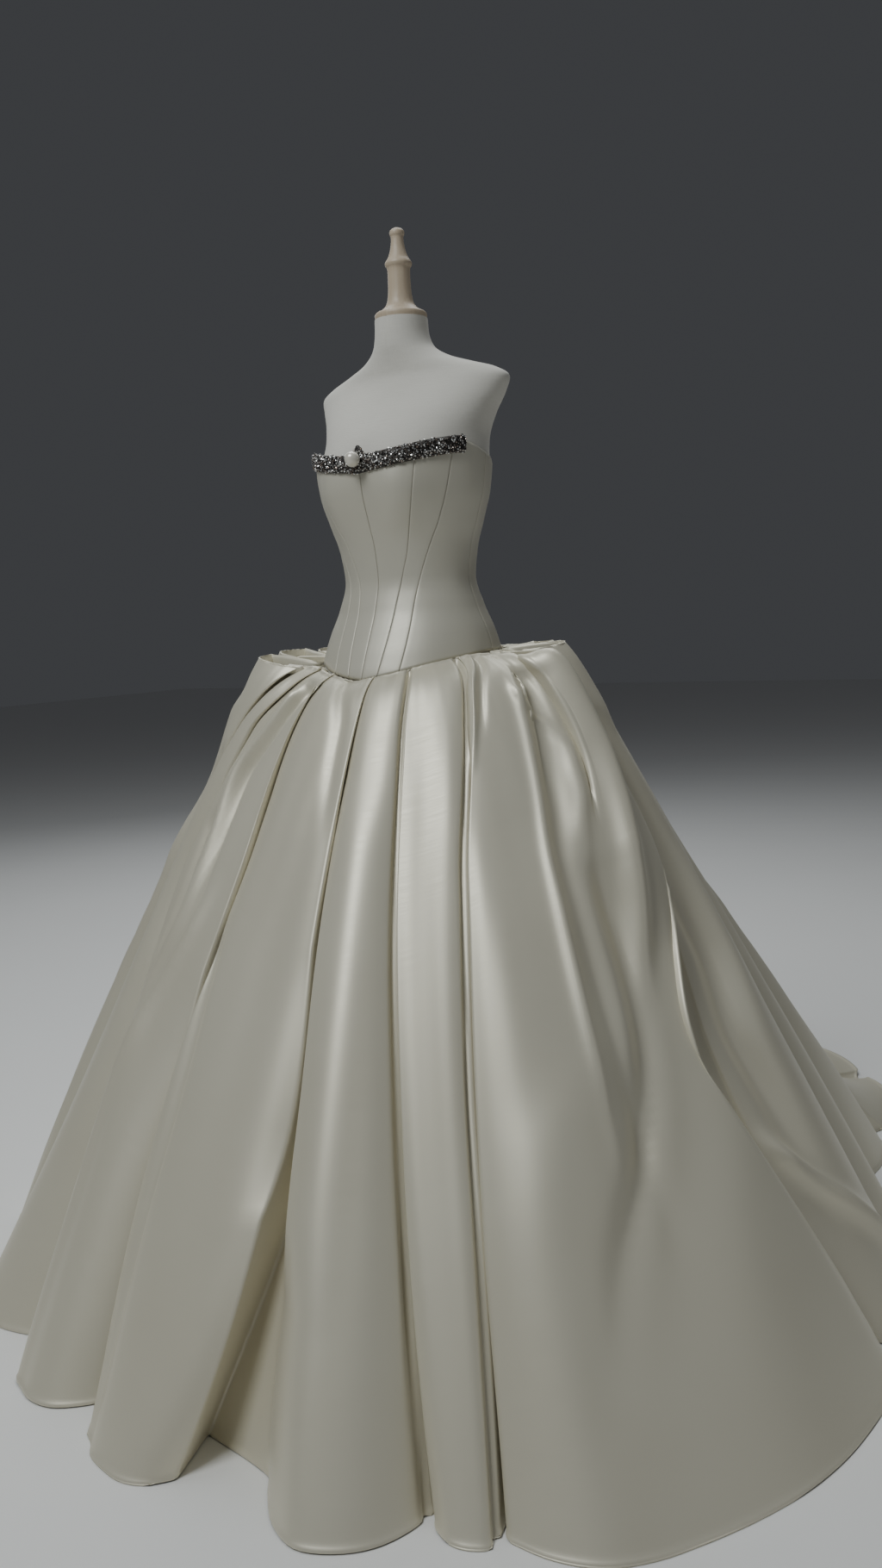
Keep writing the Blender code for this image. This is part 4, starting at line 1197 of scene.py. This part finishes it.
# tree that sets stones close together over the outward faces of a strip
def makeStoneTree(stone):
    tree = bpy.data.node_groups.new("setStones", "GeometryNodeTree")
    face = tree.interface
    face.new_socket("Geometry", in_out="INPUT", socket_type="NodeSocketGeometry")
    for name, value in stoneForm["set"].items():
        kind = "NodeSocketInt" if name == "Seed" else "NodeSocketFloat"
        face.new_socket(name, in_out="INPUT", socket_type=kind).default_value = value
    face.new_socket("Geometry", in_out="OUTPUT", socket_type="NodeSocketGeometry")
    given = addNode(tree, "NodeGroupInput").outputs
    facing = addNode(tree, "GeometryNodeInputNamedAttribute",
                     {"data_type": "FLOAT", "Name": "facing"})
    front = addNode(tree, "FunctionNodeCompare",
                    {"data_type": "FLOAT", "operation": "GREATER_THAN", 1: 0.5},
                    {0: facing.outputs[0]})
    points = addNode(tree, "GeometryNodeDistributePointsOnFaces",
                     {"distribute_method": "POISSON"},
                     {"Mesh": given["Geometry"], "Selection": front.outputs[0],
                      "Distance Min": given["Pitch"], "Density Max": given["Density"],
                      "Seed": given["Seed"]})
    lift = addNode(tree, "ShaderNodeVectorMath", {"operation": "SCALE"},
                   {0: points.outputs["Normal"], "Scale": given["Lift"]})
    raised = addNode(tree, "GeometryNodeSetPosition", {},
                     {"Geometry": points.outputs["Points"], "Offset": lift.outputs[0]})
    source = addNode(tree, "GeometryNodeObjectInfo", {"Object": stone})
    tilt = addNode(tree, "FunctionNodeRandomValue",
                   {"data_type": "FLOAT_VECTOR", 0: [-most for most in stoneForm["tilt"]],
                    1: stoneForm["tilt"]}, {"Seed": given["Seed"]})
    spin = addNode(tree, "FunctionNodeRotateRotation", {"rotation_space": "LOCAL"},
                   {"Rotation": points.outputs["Rotation"], "Rotate By": tilt.outputs[0]})
    size = addNode(tree, "FunctionNodeRandomValue",
                   {"data_type": "FLOAT", 2: stoneForm["sizes"][0], 3: stoneForm["sizes"][1]},
                   {"Seed": given["Seed"]})
    scaled = addMath(tree, "MULTIPLY", size.outputs[1], given["Radius"])
    placed = addNode(tree, "GeometryNodeInstanceOnPoints", {},
                     {"Points": raised.outputs["Geometry"], "Instance": source.outputs["Geometry"],
                      "Rotation": spin.outputs[0], "Scale": scaled})
    shade = addNode(tree, "FunctionNodeRandomValue",
                    {"data_type": "FLOAT", "Seed": stoneForm["tintSeed"]})
    tinted = addNode(tree, "GeometryNodeStoreNamedAttribute",
                     {"data_type": "FLOAT", "domain": "INSTANCE", "Name": "tint"},
                     {"Geometry": placed.outputs["Instances"], "Value": shade.outputs[1]})
    real = addNode(tree, "GeometryNodeRealizeInstances", {}, {"Geometry": tinted.outputs[0]})
    painted = addNode(tree, "GeometryNodeSetMaterial", {"Material": stoneCrystal},
                      {"Geometry": real.outputs[0]})
    addNode(tree, "NodeGroupOutput", {}, {"Geometry": painted.outputs[0]})
    return tree


def growPiece(name, base, tree):
    maker = addObject(name + "Maker", base.data.copy())
    growth = maker.modifiers.new("growth", "NODES")
    growth.node_group = tree
    graph = bpy.context.evaluated_depsgraph_get()
    mesh = bpy.data.meshes.new_from_object(maker.evaluated_get(graph))
    bpy.data.objects.remove(maker)
    return addObject(name, mesh)


bandPiece = addBand()
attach(bandPiece, "root")
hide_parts("neckline_band")
stone = addStone()
stones = growPiece("neckline_band_stones", bandPiece, makeStoneTree(stone))
bpy.data.objects.remove(stone)
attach(stones, "root")
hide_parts("neckline_band")
print("band made:", len(stones.data.polygons), "stone faces")

pearl = {"radius": 0.0118, "height": 1.2645, "gap": 0.0003, "segments": 56, "rings": 32}


def addPearl():
    bandFace = band["edgeThick"] + (band["thick"] - band["edgeThick"]) * band["peakSeat"]
    wall = bodyRadius(0.0, pearl["height"])
    out = wall + band["standOff"] + bandFace + pearl["radius"] + pearl["gap"]
    shape = bmesh.new()
    bmesh.ops.create_uvsphere(shape, u_segments=pearl["segments"], v_segments=pearl["rings"],
                              radius=pearl["radius"])
    bmesh.ops.translate(shape, verts=shape.verts, vec=(0.0, -out, pearl["height"]))
    return shapeObject("centre_pearl_ball", shape, pearlCoat)


pearlPiece = addPearl()
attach(pearlPiece, "root")
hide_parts("centre_pearl")
print("pearl made")


# dress form: linen stretched over the torso, with a sewn seam down the middle

dressForm = {
    "clearance": 0.0023,
    "columns": 144,
    "middleLow": 0.900,       # between the rows below, the cover follows the torso
    "middleTall": 0.355,
    "middleRows": 24,
    "closeSpan": 2,
    "wideSpan": 6,
    "seam": 0.0006,           # depth of the sewn seam, down the centre front and back
    "seamWidth": 0.0016,
    "seamLow": 1.2,
    "sharp": 45.0,
    "neckBack": 0.010,        # the neck's middle lies this far behind the waist's
}
# height, half width, shift backwards, and the depth in front and behind
formRows = (
    (0.780, 0.1480, 0.000, 0.1330, 0.1300),
    (0.800, 0.1560, 0.000, 0.1420, 0.1380),
    (0.850, 0.1600, 0.000, 0.1470, 0.1380),
)
topRows = (
    (1.300, 0.1420, 0.012, 0.1130, 0.0980),
    (1.335, 0.1530, 0.022, 0.0960, 0.0860),
    (1.365, 0.1680, 0.032, 0.0800, 0.0740),
    (1.388, 0.1750, 0.036, 0.0660, 0.0640),
    (1.402, 0.1560, 0.035, 0.0590, 0.0590),
    (1.416, 0.1150, 0.030, 0.0550, 0.0550),
    (1.430, 0.0760, 0.023, 0.0510, 0.0510),
    (1.446, 0.0520, 0.015, 0.0470, 0.0470),
    (1.464, 0.0440, 0.011, 0.0440, 0.0440),
    (1.492, 0.0420, 0.010, 0.0420, 0.0420),
)


def formRing(height, radiusAt, shift=0.0):
    return [atAngle(a, radiusAt(a), height, shift)
            for a in np.linspace(0, 360, dressForm["columns"], endpoint=False)]


def ovalRings(rows):
    return [formRing(height, lambda a: ovalRadius(a, halfWidth, front, back), shift)
            for height, halfWidth, shift, front, back in rows]


def addForm():
    inset = bodice["wall"] + dressForm["clearance"]
    count = dressForm["middleRows"]
    middle = [dressForm["middleLow"] + dressForm["middleTall"] * k / count
              for k in range(count + 1)]
    rings = ovalRings(formRows)
    rings += [formRing(height, lambda a: bodyRadius(a, height) - inset) for height in middle]
    rings += ovalRings(topRows)
    spans = [dressForm["closeSpan"]] * (len(formRows) + len(middle) - 1)
    spans += [dressForm["wideSpan"]] * len(topRows)
    grid = splineAcross(np.array(rings).transpose(1, 0, 2), spans).transpose(1, 0, 2)
    shape = bmesh.new()
    rings = [[shape.verts.new(point) for point in ring] for ring in grid]
    joinRings(shape, rings)
    shape.faces.new(list(reversed(rings[0])))
    shape.faces.new(rings[-1])
    bmesh.ops.recalc_face_normals(shape, faces=shape.faces)
    shape.normal_update()
    for vert in shape.verts:
        if vert.co.z > dressForm["seamLow"]:
            vert.co -= vert.normal * dressForm["seam"] * bell(vert.co.x / dressForm["seamWidth"])
    return shapeObject("form_body_cover", shape, formLinen, dressForm["sharp"])


formPiece = addForm()
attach(formPiece, "root")
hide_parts("form_body")

finial = {
    "segments": 72,
    "spans": 5,
    "least": 0.0004,
    "sharp": 45.0,
    "profile": (
        (0.0, 1.6320), (0.0070, 1.6305), (0.0112, 1.6265), (0.0116, 1.6215), (0.0100, 1.6180),
        (0.0104, 1.6080), (0.0125, 1.5970), (0.0165, 1.5860), (0.0205, 1.5800),
        (0.0215, 1.5770), (0.0205, 1.5735), (0.0185, 1.5700), (0.0180, 1.5500),
        (0.0190, 1.5300), (0.0225, 1.5150), (0.0310, 1.5060), (0.0400, 1.5015),
        (0.0415, 1.4980), (0.0410, 1.4923)),
}


def addFinial():
    line = np.array([[(radius, height, 0.0) for radius, height in finial["profile"]]])
    dense = splineAcross(line, [finial["spans"]] * (len(finial["profile"]) - 1))[0]
    shape = bmesh.new()
    count = finial["segments"]
    back = dressForm["neckBack"]
    top = shape.verts.new((0.0, back, dense[0][1]))
    rings = []
    for radius, height, _ in dense[1:]:
        radius = max(radius, finial["least"])
        rings.append([shape.verts.new(atAngle(360.0 * k / count, radius, height, back))
                      for k in range(count)])
    for k in range(count):
        shape.faces.new((top, rings[0][k], rings[0][(k + 1) % count]))
    joinRings(shape, rings)
    shape.faces.new(rings[-1])
    bmesh.ops.recalc_face_normals(shape, faces=shape.faces)
    return shapeObject("form_finial_turning", shape, finialWood, finial["sharp"])


finialPiece = addFinial()
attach(finialPiece, "root")
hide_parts("form_finial")

for node in ("form_pole", "form_base"):
    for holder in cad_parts[node].material_slots:
        holder.material = standSteel
print("form and stand finished")


# floor and lights

studio = {
    "floor": "#f0efec",
    "floorSize": 30.0,
    "floorDrop": 0.0004,
    "floorCloud": 2.5,
    "floorRoughness": (0.55, 0.7),
    "world": (0.50, 0.52, 0.56),
    "worldStrength": 0.10,
}


def addFloor():
    half, low = 0.5 * studio["floorSize"], -studio["floorDrop"]
    mesh = bpy.data.meshes.new("floor")
    mesh.from_pydata([(-half, -half, low), (half, -half, low), (half, half, low),
                      (-half, half, low)], [], [(0, 1, 2, 3)])
    material, tree, shader = startMaterial("studioFloor",
                                           {"Base Color": toLinear(studio["floor"])})
    cloud = addNoise(tree, ownPlace(tree), scale=studio["floorCloud"], detail=3.0)
    varyRoughness(tree, shader, cloud, *studio["floorRoughness"])
    mesh.materials.append(material)
    addObject("floor", mesh)


# an area light that looks at a point; its place is along the camera's level, its depth and up
def addLight(name, place, aim, size, power, colour):
    lamp = bpy.data.lights.new(name, "AREA")
    lamp.shape = "RECTANGLE"
    lamp.size, lamp.size_y = size
    lamp.energy = power
    lamp.color = colour
    aside, behind, height = place
    thing = addObject(name, lamp)
    thing.location = levelWay * aside + aheadWay * behind + Vector((0, 0, height))
    thing.rotation_euler = (Vector(aim) - thing.location).to_track_quat("-Z", "Y").to_euler()


addFloor()
addLight("keyLight", place=(-1.6, -1.7, 3.8), aim=(0.0, 0.0, 0.9), size=(1.4, 1.4),
         power=76.0, colour=(0.93, 0.975, 1.0))
addLight("fillLight", place=(2.8, -1.8, 1.6), aim=(0.0, 0.0, 0.7), size=(2.0, 2.0),
         power=2.5, colour=(0.93, 0.96, 1.0))
addLight("topLight", place=(0.2, 1.5, 4.0), aim=(0.0, 0.4, 0.5), size=(2.6, 2.6),
         power=60.0, colour=(0.93, 0.975, 1.0))
addLight("backLight", place=(-1.0, 3.6, 2.6), aim=(0.0, 0.5, 0.4), size=(2.0, 1.6),
         power=16.0, colour=(0.93, 0.97, 1.0))
world = bpy.data.worlds.new("studio")
world.use_nodes = True
background = world.node_tree.nodes["Background"]
background.inputs["Color"].default_value = (*studio["world"], 1.0)
background.inputs["Strength"].default_value = studio["worldStrength"]
scene.world = world
print("studio set")
